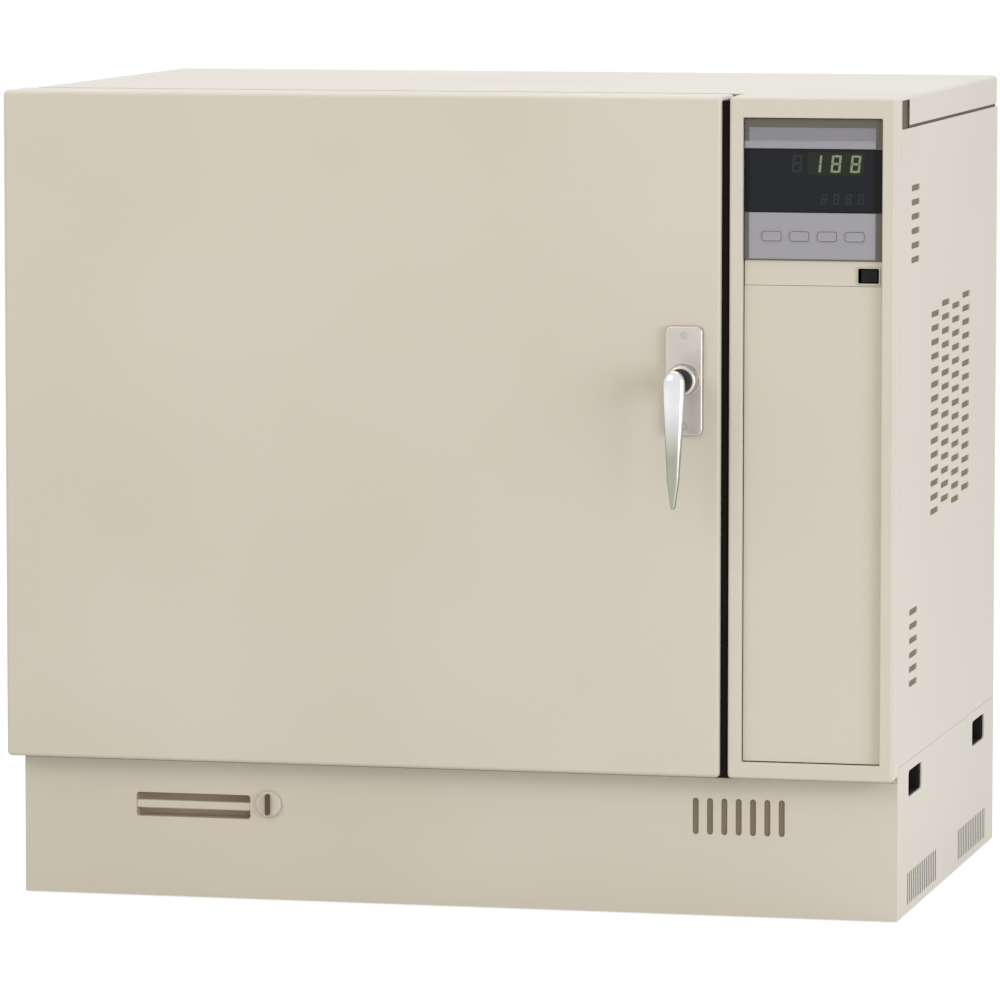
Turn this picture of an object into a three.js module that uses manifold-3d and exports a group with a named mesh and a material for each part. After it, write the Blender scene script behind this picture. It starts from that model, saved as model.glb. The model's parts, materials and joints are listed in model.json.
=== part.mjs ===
// High-temperature laboratory oven: a sheet-metal cabinet on a plinth, with a wide insulated door
// hinged on the left and a control column on the right. Forced air goes round a square chamber
// through a duct behind a slotted baffle.
// Millimetres, +Z up, the front faces -Y. The origin is on the floor, in the middle of the footprint.

import * as THREE from 'three';
import { mergeVertices } from 'three/addons/utils/BufferGeometryUtils.js';
import Module from 'manifold-3d';

const wasm = await Module();
wasm.setup();

// Driving dimensions: the whole oven
const ovenWidth = 890;
const ovenHeight = 800;
const cabinetDepth = 590;
const doorProud = 30;
const doorWidth = 720;
const doorLap = 10;
const doorColumnGap = 8;
const doorThickness = 68;
const doorSeatDepth = 50;
const plinthHeight = 136;
const overPlinthGap = 4;
const floorGap = 1;

// Driving dimensions: chamber
const chamberWidth = 450;
const chamberDepth = 450;
const chamberHeight = 450;
const ductWidth = 85;
const sideInsulation = 82;
const floorInsulation = 109;

// Sheets, clearances and one overrun for every cut
const sheet = 1.5;
const linerSheet = 1.2;
const seatGap = 0.3;
const overrun = 5;

// Rounded outlines: steps in a quarter turn, and in the half turn at a slot's end
const cornerSteps = 3;
const slotEndSteps = 2;

// Places that follow from the driving dimensions
const doorLeft = -ovenWidth / 2;
const doorRight = doorLeft + doorWidth;
const cabinetLeft = doorLeft + doorLap;
const cabinetRight = ovenWidth / 2;
const columnLeft = doorRight + doorColumnGap;
const columnCentreX = (columnLeft + cabinetRight) / 2;
const frontY = -doorProud;
const doorBackY = frontY + doorThickness;
const upperBottom = plinthHeight + overPlinthGap;
const backY = cabinetDepth;
const backInnerY = backY - sheet - seatGap;
const frameRearY = doorSeatDepth + sheet;

const chamberLeft = cabinetLeft + sideInsulation;
const chamberRight = chamberLeft + chamberWidth;
const ductRight = chamberRight + ductWidth;
const chamberFloor = plinthHeight + floorInsulation;
const chamberTop = chamberFloor + chamberHeight;
const chamberBackY = frameRearY + seatGap + chamberDepth;
const chamberCentreX = (chamberLeft + chamberRight) / 2;

// The fan turns about an axis across the oven, at the middle of the duct
const fanY = frameRearY + chamberDepth / 2;
const fanZ = chamberFloor + chamberHeight / 2;

// Paint, metals and plastics
const beigePaint = new THREE.MeshStandardMaterial({ color: 0xd5cdbc, roughness: 0.5, metalness: 0 });
const galvanised = new THREE.MeshStandardMaterial({ color: 0xa8abab, roughness: 0.45, metalness: 0.8 });
const stainless = new THREE.MeshStandardMaterial({ color: 0xc2c3c2, roughness: 0.35, metalness: 0.9 });
const chrome = new THREE.MeshStandardMaterial({ color: 0xe2e4e8, roughness: 0.12, metalness: 1 });
const blackPlastic = new THREE.MeshStandardMaterial({ color: 0x1b1a19, roughness: 0.55, metalness: 0 });
const greyPlastic = new THREE.MeshStandardMaterial({ color: 0x96949b, roughness: 0.5, metalness: 0 });
const darkWindow = new THREE.MeshStandardMaterial({ color: 0x1e2128, roughness: 0.1, metalness: 0 });
const mineralWool = new THREE.MeshStandardMaterial({ color: 0xcfc39a, roughness: 0.95, metalness: 0 });
const glassRope = new THREE.MeshStandardMaterial({ color: 0xb9b4a6, roughness: 0.9, metalness: 0 });
const castAluminium = new THREE.MeshStandardMaterial({ color: 0x9a9c9e, roughness: 0.5, metalness: 0.7 });
const heaterSteel = new THREE.MeshStandardMaterial({ color: 0x5e5a58, roughness: 0.6, metalness: 0.7 });

// Outlines

function arcPoints(across, up, radius, from, to, steps) {
  const points = [];
  for (let i = 0; i <= steps; i += 1) {
    const angle = from + ((to - from) * i) / steps;
    points.push(new THREE.Vector2(across + radius * Math.cos(angle), up + radius * Math.sin(angle)));
  }
  return points;
}

function circlePoints(across, up, radius, sides) {
  return arcPoints(across, up, radius, 0, 2 * Math.PI, sides).slice(0, sides);
}

function rectPoints(left, right, low, high) {
  return [
    new THREE.Vector2(left, low),
    new THREE.Vector2(right, low),
    new THREE.Vector2(right, high),
    new THREE.Vector2(left, high),
  ];
}

function roundRectPoints(left, right, low, high, radius) {
  const quarter = Math.PI / 2;
  return [
    ...arcPoints(left + radius, low + radius, radius, 2 * quarter, 3 * quarter, cornerSteps),
    ...arcPoints(right - radius, low + radius, radius, 3 * quarter, 4 * quarter, cornerSteps),
    ...arcPoints(right - radius, high - radius, radius, 0, quarter, cornerSteps),
    ...arcPoints(left + radius, high - radius, radius, quarter, 2 * quarter, cornerSteps),
  ];
}

// A slot with round ends, long across or long up, whichever side is greater
function slotPoints(across, up, width, height) {
  const radius = Math.min(width, height) / 2;
  const quarter = Math.PI / 2;
  if (width > height) {
    const reach = width / 2 - radius;
    return [
      ...arcPoints(across + reach, up, radius, -quarter, quarter, slotEndSteps),
      ...arcPoints(across - reach, up, radius, quarter, 3 * quarter, slotEndSteps),
    ];
  }
  const reach = height / 2 - radius;
  return [
    ...arcPoints(across, up + reach, radius, 0, 2 * quarter, slotEndSteps),
    ...arcPoints(across, up - reach, radius, 2 * quarter, 4 * quarter, slotEndSteps),
  ];
}

function shapeOf(points, holes = []) {
  return { points, holes };
}

// Solids

function toSolid(geometry) {
  const bare = geometry.clone();
  bare.deleteAttribute('normal');
  bare.deleteAttribute('uv');
  const merged = mergeVertices(bare);
  return new wasm.Manifold(new wasm.Mesh({
    numProp: 3,
    vertProperties: merged.attributes.position.array,
    triVerts: new Uint32Array(merged.index.array),
  }));
}

function toGeometry(solid) {
  const mesh = solid.getMesh();
  const geometry = new THREE.BufferGeometry();
  geometry.setAttribute('position', new THREE.BufferAttribute(mesh.vertProperties, mesh.numProp));
  geometry.setIndex(new THREE.BufferAttribute(mesh.triVerts, 1));
  geometry.computeVertexNormals();
  return geometry;
}

function extruded(points, length, bevel = null) {
  return new THREE.ExtrudeGeometry(new THREE.Shape(points), { depth: length, bevelEnabled: false, ...bevel });
}

const unitX = new THREE.Vector3(1, 0, 0);
const unitY = new THREE.Vector3(0, 1, 0);
const unitZ = new THREE.Vector3(0, 0, 1);
const towardsFront = new THREE.Vector3(0, -1, 0);
const towardsBottom = new THREE.Vector3(0, 0, -1);
const towardsLeft = new THREE.Vector3(-1, 0, 0);

// A shape drawn in (y, z) runs along X, one in (x, z) along Y, and one in (x, y) along Z. Its holes are
// cut through as prisms of their own.
function prismX(points, low, high) {
  const geometry = extruded(points, high - low);
  geometry.applyMatrix4(new THREE.Matrix4().makeBasis(unitY, unitZ, unitX));
  geometry.translate(low, 0, 0);
  return toSolid(geometry);
}

function prismY(points, low, high) {
  const geometry = extruded(points, high - low);
  geometry.applyMatrix4(new THREE.Matrix4().makeBasis(unitX, unitZ, towardsFront));
  geometry.translate(0, high, 0);
  return toSolid(geometry);
}

function prismZ(points, low, high) {
  const geometry = extruded(points, high - low);
  geometry.translate(0, 0, low);
  return toSolid(geometry);
}

function pierced(prism, { points, holes }, low, high) {
  const whole = prism(points, low, high);
  if (holes.length === 0) {
    return whole;
  }
  const cutters = holes.map((hole) => prism(hole, low - overrun, high + overrun));
  return whole.subtract(wasm.Manifold.union(cutters));
}

function alongX(shape, low, high) {
  return pierced(prismX, shape, low, high);
}

function alongY(shape, low, high) {
  return pierced(prismY, shape, low, high);
}

function alongZ(shape, low, high) {
  return pierced(prismZ, shape, low, high);
}

function block(lowX, highX, lowY, highY, lowZ, highZ) {
  const geometry = new THREE.BoxGeometry(highX - lowX, highY - lowY, highZ - lowZ);
  geometry.translate((lowX + highX) / 2, (lowY + highY) / 2, (lowZ + highZ) / 2);
  return toSolid(geometry);
}

function rodX(y, z, radius, low, high, sides) {
  return alongX(shapeOf(circlePoints(y, z, radius, sides)), low, high);
}

function rodY(x, z, radius, low, high, sides) {
  return alongY(shapeOf(circlePoints(x, z, radius, sides)), low, high);
}

function rodZ(x, y, radius, low, high, sides) {
  return alongZ(shapeOf(circlePoints(x, y, radius, sides)), low, high);
}

// A slab seen from the front, with its front edges rounded and its back face flat
function frontPad(points, front, back, radius) {
  const steps = 2;
  const bevel = {
    bevelEnabled: true,
    bevelThickness: radius,
    bevelSize: radius,
    bevelOffset: -radius,
    bevelSegments: steps,
  };
  const geometry = extruded(points, back - front - radius, bevel);
  geometry.applyMatrix4(new THREE.Matrix4().makeBasis(unitX, unitZ, towardsFront));
  geometry.translate(0, back, 0);
  geometry.computeBoundingBox();
  const box = geometry.boundingBox;
  const rear = block(
    box.min.x - overrun, box.max.x + overrun,
    back, back + radius + overrun,
    box.min.z - overrun, box.max.z + overrun,
  );
  return toSolid(geometry).subtract(rear);
}

// A profile in (radius, height) turns about a line along X, Y or Z through a point
function revolved(profile, sides, axis, x, y, z) {
  const points = profile.map(([radius, height]) => new THREE.Vector2(radius, height));
  const geometry = new THREE.LatheGeometry(points, sides);
  if (axis === 'x') {
    geometry.applyMatrix4(new THREE.Matrix4().makeBasis(unitY, unitX, towardsBottom));
  } else if (axis === 'y') {
    geometry.applyMatrix4(new THREE.Matrix4().makeBasis(unitZ, unitY, towardsLeft));
  } else {
    geometry.applyMatrix4(new THREE.Matrix4().makeBasis(unitY, unitZ, unitX));
  }
  geometry.translate(x, y, z);
  return toSolid(geometry);
}

function joined(solids) {
  return solids.reduce((whole, solid) => whole.add(solid));
}

function cut(solid, tools) {
  return tools.reduce((rest, tool) => rest.subtract(tool), solid);
}

function piece(name, solid, material) {
  const mesh = new THREE.Mesh(toGeometry(solid), material);
  mesh.name = name;
  return mesh;
}

// Side vents: one size of punched slot in three groups, and a row of upright slots at the bottom
const slotLength = 46;
const slotHeight = 6;
const ventRowPitch = 14;
const ventFieldRows = 15;
const ventColumnPitch = 63;
const ventFieldColumns = 4;
const ventFieldFromMiddle = 5;
const ventFieldRise = 10;
const ventGroupRows = 6;
const ventGroupY = 85;
const upperGroupDrop = 126;
const lowerGroupRise = 120;
const bottomSlotWidth = 5;
const bottomSlotHeight = 32;
const bottomSlotPitch = 11;
const bottomSlotCount = 16;
const bottomSlotZ = 24;
const bottomFieldFront = 145;
const bottomFieldBack = 139;

function ventField() {
  const holes = [];
  for (let column = 0; column < ventFieldColumns; column += 1) {
    const y = cabinetDepth / 2 + ventFieldFromMiddle + (column - (ventFieldColumns - 1) / 2) * ventColumnPitch;
    const stagger = (column % 2) * (ventRowPitch / 2);
    for (let row = 0; row < ventFieldRows; row += 1) {
      const z = fanZ + ventFieldRise + (row - (ventFieldRows - 1) / 2) * ventRowPitch + stagger;
      holes.push(slotPoints(y, z, slotLength, slotHeight));
    }
  }
  return holes;
}

function ventGroup(centreZ) {
  const holes = [];
  for (let row = 0; row < ventGroupRows; row += 1) {
    const z = centreZ + (row - (ventGroupRows - 1) / 2) * ventRowPitch;
    holes.push(slotPoints(ventGroupY, z, slotLength, slotHeight));
  }
  return holes;
}

function bottomVents() {
  const holes = [];
  for (const centreY of [bottomFieldFront, cabinetDepth - bottomFieldBack]) {
    for (let i = 0; i < bottomSlotCount; i += 1) {
      const y = centreY + (i - (bottomSlotCount - 1) / 2) * bottomSlotPitch;
      holes.push(slotPoints(y, bottomSlotZ, bottomSlotWidth, bottomSlotHeight));
    }
  }
  return holes;
}

// Carrying grips: moulded cups let into both side panels, two a side
const gripOpeningLength = 76;
const gripOpeningHeight = 26;
const gripDepth = 36;
const gripWall = 2;
const gripFlange = 7;
const gripCornerRadius = 5;
const gripDrop = 9;
const gripZ = plinthHeight - gripDrop;
const gripFrontY = 101;
const gripRearInset = 100;
const gripRearY = cabinetDepth - gripRearInset;

function gripOutline(y, grow) {
  return roundRectPoints(
    y - gripOpeningLength / 2 - grow, y + gripOpeningLength / 2 + grow,
    gripZ - gripOpeningHeight / 2 - grow, gripZ + gripOpeningHeight / 2 + grow,
    gripCornerRadius + grow,
  );
}

// The cup's flange lies behind the panel, and its mouth looks out through the panel's hole
function carryGrip(name, y, outerX, inward) {
  const flangeX = outerX + inward * (sheet + seatGap);
  const flangeInX = flangeX + inward * gripWall;
  const bottomX = flangeX + inward * gripDepth;
  const flange = alongX(
    shapeOf(gripOutline(y, gripFlange)), Math.min(flangeX, flangeInX), Math.max(flangeX, flangeInX),
  );
  const cup = alongX(
    shapeOf(gripOutline(y, gripWall)), Math.min(flangeX, bottomX), Math.max(flangeX, bottomX),
  );
  const hollowFrom = flangeX - inward * overrun;
  const hollowTo = bottomX - inward * gripWall;
  const hollow = alongX(
    shapeOf(gripOutline(y, 0)), Math.min(hollowFrom, hollowTo), Math.max(hollowFrom, hollowTo),
  );
  return piece(name, flange.add(cup).subtract(hollow), blackPlastic);
}

// Side panels: flat sheets whose upper edge stops below the top cover's skirt. The left one is whole. The
// right one is a removable vented panel above a fixed strip, which holds the grips and the bottom slots.
const skirtHeight = 29;
const skirtSeam = 3;
const earWidth = 16;
const skirtBottom = ovenHeight - skirtHeight;
const panelTop = skirtBottom - skirtSeam;
const panelFrontY = sheet + seatGap;
const panelBackY = backY - sheet - seatGap;
const panelFlange = 14;

function gripHoles() {
  return [gripOutline(gripFrontY, 0), gripOutline(gripRearY, 0)];
}

function sidePanelRight() {
  const bottom = deckBottom + seatGap;
  const earTop = ovenHeight - foldRadius - seatGap;
  const outline = [
    new THREE.Vector2(panelFrontY, bottom),
    new THREE.Vector2(panelBackY, bottom),
    new THREE.Vector2(panelBackY, panelTop),
    new THREE.Vector2(panelFrontY + earWidth, panelTop),
    new THREE.Vector2(panelFrontY + earWidth, earTop),
    new THREE.Vector2(panelFrontY, earTop),
  ];
  const holes = [
    ...ventField(), ...ventGroup(ovenHeight - upperGroupDrop), ...ventGroup(upperBottom + lowerGroupRise),
  ];
  const face = alongX(shapeOf(outline, holes), cabinetRight - sheet, cabinetRight);
  const rearFlange = block(
    cabinetRight - panelFlange, cabinetRight - sheet, panelBackY - sheet, panelBackY, bottom, panelTop,
  );
  return piece('side_panel_right', face.add(rearFlange), beigePaint);
}

function sideStripRight() {
  const outline = rectPoints(panelFrontY, panelBackY, floorGap, deckBottom);
  const holes = [...bottomVents(), ...gripHoles()];
  const face = alongX(shapeOf(outline, holes), cabinetRight - sheet, cabinetRight);
  const rearFlange = block(
    cabinetRight - panelFlange, cabinetRight - sheet, panelBackY - sheet, panelBackY, floorGap, deckBottom,
  );
  return piece('side_strip_right', face.add(rearFlange), beigePaint);
}

function sidePanelLeft() {
  const shoulderY = doorSeatDepth;
  const shoulderZ = upperBottom - seatGap;
  const outline = [
    new THREE.Vector2(panelFrontY, floorGap),
    new THREE.Vector2(panelBackY, floorGap),
    new THREE.Vector2(panelBackY, panelTop),
    new THREE.Vector2(shoulderY, panelTop),
    new THREE.Vector2(shoulderY, shoulderZ),
    new THREE.Vector2(panelFrontY, shoulderZ),
  ];
  const holes = [...bottomVents(), ...gripHoles()];
  const face = alongX(shapeOf(outline, holes), cabinetLeft, cabinetLeft + sheet);
  const rearFlange = block(
    cabinetLeft + sheet, cabinetLeft + panelFlange, panelBackY - sheet, panelBackY, floorGap, panelTop,
  );
  return piece('side_panel_left', face.add(rearFlange), beigePaint);
}

// Top cover: a folded lid with a skirt on three sides. In front of the column it reaches forward
// to the column frame, and its right skirt starts behind an open notch.
const foldRadius = 4;
const skirtNotch = 40;

function topCover() {
  const inner = foldRadius - sheet;
  const quarter = Math.PI / 2;
  const left = cabinetLeft;
  const right = cabinetRight;
  const top = ovenHeight;
  const outline = [
    new THREE.Vector2(right, skirtBottom),
    ...arcPoints(right - foldRadius, top - foldRadius, foldRadius, 0, quarter, cornerSteps),
    ...arcPoints(left + foldRadius, top - foldRadius, foldRadius, quarter, 2 * quarter, cornerSteps),
    new THREE.Vector2(left, skirtBottom),
    new THREE.Vector2(left + sheet, skirtBottom),
    ...arcPoints(left + foldRadius, top - foldRadius, inner, 2 * quarter, quarter, cornerSteps),
    ...arcPoints(right - foldRadius, top - foldRadius, inner, quarter, 0, cornerSteps),
    new THREE.Vector2(right - sheet, skirtBottom),
  ];
  const lid = alongY(shapeOf(outline), panelFrontY, backY);
  const backSkirt = block(left + sheet, right - sheet, backY - sheet, backY, skirtBottom, top - sheet);
  const overDoor = block(
    left - overrun, columnLeft - seatGap, frontY, doorSeatDepth, skirtBottom - overrun, top + overrun,
  );
  const notch = block(
    right - foldRadius, right + overrun,
    panelFrontY - overrun, skirtNotch, skirtBottom - overrun, top - foldRadius,
  );
  return piece('top_cover', cut(lid.add(backSkirt), [overDoor, notch]), beigePaint);
}

// Back panel: one flat sheet with air slots behind the equipment compartment, a hole for the cord
// gland and round exhaust holes behind the damper
const backSlotLength = 60;
const backSlotRows = 7;
const backSlotPitch = 16;
const backGroupFromFan = 170;
const glandInset = 73;
const glandDrop = 50;
const glandX = cabinetRight - glandInset;
const glandZ = plinthHeight - glandDrop;
const glandHoleRadius = 11;
const exhaustDrop = 67;
const exhaustZ = chamberTop - exhaustDrop;
const exhaustHoleRadius = 9;
const exhaustHoleCount = 4;
const exhaustRingRadius = 20;
const damperPinRadius = 3;

// The holes sit on a ring, half a step round from the damper's own holes when it is closed
function exhaustHoles(turn) {
  const holes = [];
  for (let i = 0; i < exhaustHoleCount; i += 1) {
    const angle = turn + (2 * Math.PI * i) / exhaustHoleCount;
    const x = chamberCentreX + exhaustRingRadius * Math.cos(angle);
    const z = exhaustZ + exhaustRingRadius * Math.sin(angle);
    holes.push(circlePoints(x, z, exhaustHoleRadius, 8));
  }
  return holes;
}

function backPanel() {
  const outline = rectPoints(cabinetLeft, cabinetRight, floorGap, panelTop);
  const holes = [];
  for (const centreZ of [fanZ - backGroupFromFan, fanZ + backGroupFromFan]) {
    for (let row = 0; row < backSlotRows; row += 1) {
      const z = centreZ + (row - (backSlotRows - 1) / 2) * backSlotPitch;
      holes.push(slotPoints(columnCentreX, z, backSlotLength, slotHeight));
    }
  }
  holes.push(circlePoints(glandX, glandZ, glandHoleRadius, 16));
  holes.push(circlePoints(chamberCentreX, exhaustZ, damperPinRadius + seatGap, 12));
  holes.push(...exhaustHoles(0));
  const face = alongY(shapeOf(outline, holes), backY - sheet, backY);
  return piece('back_panel', face, beigePaint);
}

// Exhaust damper: a round plate that turns on a pin, with a pinch grip across it
const damperRadius = 36;
const damperPlate = 2.5;
const damperGripHeight = 12;
const damperGripWidth = 7;

function exhaustDamper() {
  const plateFrom = backY + seatGap;
  const plateTo = plateFrom + damperPlate;
  const outline = circlePoints(chamberCentreX, exhaustZ, damperRadius, 32);
  const plate = alongY(shapeOf(outline, exhaustHoles(Math.PI / exhaustHoleCount)), plateFrom, plateTo);
  const gripLength = exhaustRingRadius - exhaustHoleRadius;
  const grip = alongY(
    shapeOf(slotPoints(chamberCentreX, exhaustZ, 2 * gripLength, damperGripWidth)),
    plateTo - seatGap, plateTo + damperGripHeight,
  );
  const pin = rodY(chamberCentreX, exhaustZ, damperPinRadius, backY - sheet, plateTo, 12);
  return piece('exhaust_damper', joined([plate, grip, pin]), stainless);
}

// Cord gland: a hexagonal body with a domed nut and a bore for a mains lead
const glandAcross = 13;
const glandBodyLength = 8;
const glandNutLength = 14;
const glandNutRadius = 11;
const glandBoreRadius = 5;
const glandDomeShare = 0.72;

function cordGland() {
  const outFrom = backY + seatGap;
  const nutFrom = outFrom + glandBodyLength;
  const nutTo = nutFrom + glandNutLength;
  const domeRadius = glandNutRadius * glandDomeShare;
  const body = rodY(glandX, glandZ, glandAcross, outFrom, nutFrom, 6);
  const threadRadius = glandHoleRadius - 2 * seatGap;
  const thread = rodY(glandX, glandZ, threadRadius, backY - glandBodyLength, outFrom, 16);
  const nut = revolved(
    [[0, nutFrom], [glandNutRadius, nutFrom], [glandNutRadius, nutTo - glandBodyLength / 2],
      [domeRadius, nutTo], [0, nutTo]],
    16, 'y', glandX, 0, glandZ,
  );
  const bore = rodY(glandX, glandZ, glandBoreRadius, backY - 2 * glandBodyLength, nutTo + overrun, 12);
  return piece('cord_gland', joined([body, thread, nut]).subtract(bore), blackPlastic);
}

// Base: a tray on four levelling feet
const footHeight = 12;
const footPadRadius = 18;
const footPadHeight = 5;
const footStudRadius = 5;
const footInset = 45;
const trayLip = 24;
const shellGap = sheet + seatGap;

function basePan() {
  const left = cabinetLeft + shellGap;
  const right = cabinetRight - shellGap;
  const front = panelFrontY;
  const back = panelBackY - shellGap;
  const outer = block(left, right, front, back, footHeight, footHeight + trayLip);
  const inner = block(
    left + sheet, right - sheet, front + sheet, back - sheet, footHeight + sheet, footHeight + trayLip + overrun,
  );
  return piece('base_pan', outer.subtract(inner), galvanised);
}

function levellingFoot(name, x, y) {
  const top = footHeight - seatGap;
  const bevel = footPadHeight / 2;
  const profile = [
    [0, 0], [footPadRadius, 0], [footPadRadius, footPadHeight - bevel],
    [footPadRadius - bevel, footPadHeight], [footStudRadius, footPadHeight], [footStudRadius, top], [0, top],
  ];
  return piece(name, revolved(profile, 16, 'z', x, y, 0), blackPlastic);
}

// Deck: the plate that carries the insulation and the equipment, with its edges folded up
const deckRise = 14;
const deckLip = 12;
const deckBottom = plinthHeight + deckRise;
const deckTop = deckBottom + sheet;

function deckPlate() {
  const left = cabinetLeft + shellGap;
  const right = cabinetRight - shellGap;
  const front = frameRearY + seatGap;
  const back = panelBackY - shellGap;
  const outer = block(left, right, front, back, deckBottom, deckTop + deckLip);
  const inner = block(left + sheet, right - sheet, front + sheet, back - sheet, deckTop, deckTop + deckLip + overrun);
  return piece('deck_plate', outer.subtract(inner), galvanised);
}

// Plinth front: a removable cover with seven upright air slots, a pull recess and a quarter-turn lock
const frontSlotCount = 7;
const frontSlotPitch = 14.2;
const frontSlotWidth = 6;
const frontSlotHeight = 36;
const frontSlotInset = 156.4;
const frontSlotDrop = 38;
const frontSlotX = cabinetRight - frontSlotInset;
const frontSlotZ = plinthHeight - frontSlotDrop;
const pullInset = 173.5;
const pullDrop = 44;
const pullX = cabinetLeft + pullInset;
const pullZ = plinthHeight - pullDrop;
const pullLength = 117;
const pullHeight = 24;
const pullDepth = 22;
const pullBarHeight = 7;
const pullBarDepth = 5;
const pullCornerRadius = 3;
const lockFromPull = 77.5;
const lockRise = 4;
const lockX = pullX + lockFromPull;
const lockZ = pullZ + lockRise;
const lockRadius = 13;
const lockHead = 4;
const lockGrip = 5;
const lockShaftRadius = 5;
const lockTongue = 26;
const lockGripShare = 0.82;

function pullOutline(grow) {
  return roundRectPoints(
    pullX - pullLength / 2 - grow, pullX + pullLength / 2 + grow,
    pullZ - pullHeight / 2 - grow, pullZ + pullHeight / 2 + grow, pullCornerRadius + grow,
  );
}

function plinthFrontCover() {
  const holes = [pullOutline(0), circlePoints(lockX, lockZ, lockShaftRadius + seatGap, 16)];
  for (let i = 0; i < frontSlotCount; i += 1) {
    const x = frontSlotX + (i - (frontSlotCount - 1) / 2) * frontSlotPitch;
    holes.push(slotPoints(x, frontSlotZ, frontSlotWidth, frontSlotHeight));
  }
  const outline = rectPoints(cabinetLeft, cabinetRight, floorGap, plinthHeight);
  return piece('plinth_front_cover', alongY(shapeOf(outline, holes), 0, sheet), beigePaint);
}

// The pull is a shallow cup behind the cover with a grip bar across its mouth
function plinthPullCup() {
  const flangeFrom = sheet + seatGap;
  const flange = alongY(shapeOf(pullOutline(gripFlange)), flangeFrom, flangeFrom + sheet);
  const cup = alongY(shapeOf(pullOutline(sheet)), flangeFrom, flangeFrom + pullDepth);
  const hollow = alongY(shapeOf(pullOutline(0)), -overrun, flangeFrom + pullDepth - sheet);
  const barLow = pullZ - pullBarHeight / 2;
  const barOutline = roundRectPoints(
    flangeFrom, flangeFrom + pullBarDepth, barLow, barLow + pullBarHeight, sheet,
  );
  const reach = pullLength / 2 + sheet / 2;
  const bar = alongX(shapeOf(barOutline), pullX - reach, pullX + reach);
  return piece('plinth_pull_cup', flange.add(cup).subtract(hollow).add(bar), beigePaint);
}

// The lock's shaft passes through the cover and turns a tongue behind it
function plinthCoverLock() {
  const headBack = -seatGap;
  const headFront = headBack - lockHead;
  const head = alongY(shapeOf(circlePoints(lockX, lockZ, lockRadius, 24)), headFront, headBack);
  const gripHalf = lockRadius * lockGripShare;
  const grip = alongY(
    shapeOf(slotPoints(lockX, lockZ, lockHead, 2 * gripHalf)), headFront - lockGrip, headFront + seatGap,
  );
  const tongueFrom = sheet + seatGap;
  const shaft = rodY(lockX, lockZ, lockShaftRadius, headBack - seatGap, tongueFrom + sheet, 16);
  const tongue = alongY(
    shapeOf(roundRectPoints(
      lockX - lockShaftRadius, lockX + lockShaftRadius,
      lockZ - lockTongue, lockZ + lockShaftRadius, lockShaftRadius / 2,
    )),
    tongueFrom, tongueFrom + sheet,
  );
  return piece('plinth_cover_lock', joined([head, grip, shaft, tongue]), beigePaint);
}

// Front frame: the plate around the chamber mouth that the door's gasket meets, with a hole for the latch
const latchInset = 35;
const latchRise = 57;
const latchX = doorRight - latchInset;
const latchZ = fanZ + latchRise;
const strikeHoleRadius = 19;

function frontFrame() {
  const outline = rectPoints(
    cabinetLeft + foldRadius, columnLeft - sheet, plinthHeight + seatGap, ovenHeight - sheet - seatGap,
  );
  const mouth = rectPoints(chamberLeft, chamberRight, chamberFloor, chamberTop);
  const strike = circlePoints(latchX, latchZ, strikeHoleRadius, 24);
  return piece('front_frame', alongY(shapeOf(outline, [mouth, strike]), doorSeatDepth, frameRearY), stainless);
}

// Column frame: a folded tray, open behind, with a window whose lips turn inwards
const windowSideMargin = 13;
const windowTopMargin = 20;
const windowBottomMargin = 16;
const windowDepth = 8;
const columnEdgeRadius = 3;

const windowLeft = columnLeft + windowSideMargin;
const windowRight = cabinetRight - windowSideMargin;
const windowBottom = upperBottom + windowBottomMargin;
const windowTop = ovenHeight - windowTopMargin;
const plateFaceY = frontY + windowDepth;

function columnFrame() {
  const bounds = [columnLeft, cabinetRight, upperBottom, ovenHeight];
  const outer = frontPad(rectPoints(...bounds), frontY, doorSeatDepth, columnEdgeRadius);
  const inner = block(
    columnLeft + sheet, cabinetRight - sheet, frontY + sheet, doorSeatDepth + overrun,
    upperBottom + sheet, ovenHeight - sheet,
  );
  const lipOuter = alongY(
    shapeOf(rectPoints(windowLeft - sheet, windowRight + sheet, windowBottom - sheet, windowTop + sheet)),
    frontY + sheet / 2, plateFaceY - seatGap,
  );
  const window = alongY(
    shapeOf(rectPoints(windowLeft, windowRight, windowBottom, windowTop)), frontY - overrun, plateFaceY,
  );
  // Only the wall beside the door goes back to the door seat: the others stop at the side panel, the
  // top cover and the plinth
  const pastSides = block(
    columnLeft + sheet + seatGap, cabinetRight + overrun, sheet, doorSeatDepth + overrun,
    upperBottom - overrun, ovenHeight + overrun,
  );
  const underCover = block(
    columnLeft - overrun, cabinetRight + overrun, sheet, doorSeatDepth + overrun,
    ovenHeight - sheet - seatGap, ovenHeight + overrun,
  );
  const frame = cut(outer.subtract(inner).add(lipOuter), [window, pastSides, underCover]);
  return piece('column_frame', frame, beigePaint);
}

// Column seal: a rubber strip that fills the gap between the door's edge and the column
const sealDoorGap = 0.5;
const sealSetback = 3;
const sealBulbRadius = 3;

function columnSeal() {
  const profile = roundRectPoints(
    doorRight + sealDoorGap, columnLeft - seatGap, frontY + sealSetback, doorSeatDepth - seatGap, sealBulbRadius,
  );
  const strip = alongZ(shapeOf(profile), upperBottom + seatGap, ovenHeight - foldRadius);
  return piece('column_seal', strip, blackPlastic);
}

// Compartment wall: the partition between the insulation and the equipment compartment
const compartmentWallX = columnLeft - sheet;
const shaftRadius = 7;
const shaftWallClearance = 5;
const heaterRadius = 4;
const heaterRingRadius = 128;
const heaterLeadHalfGap = 24;
const probeRadius = 3;
const probeFromFanY = 120;
const probeFromFanZ = 165;

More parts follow.
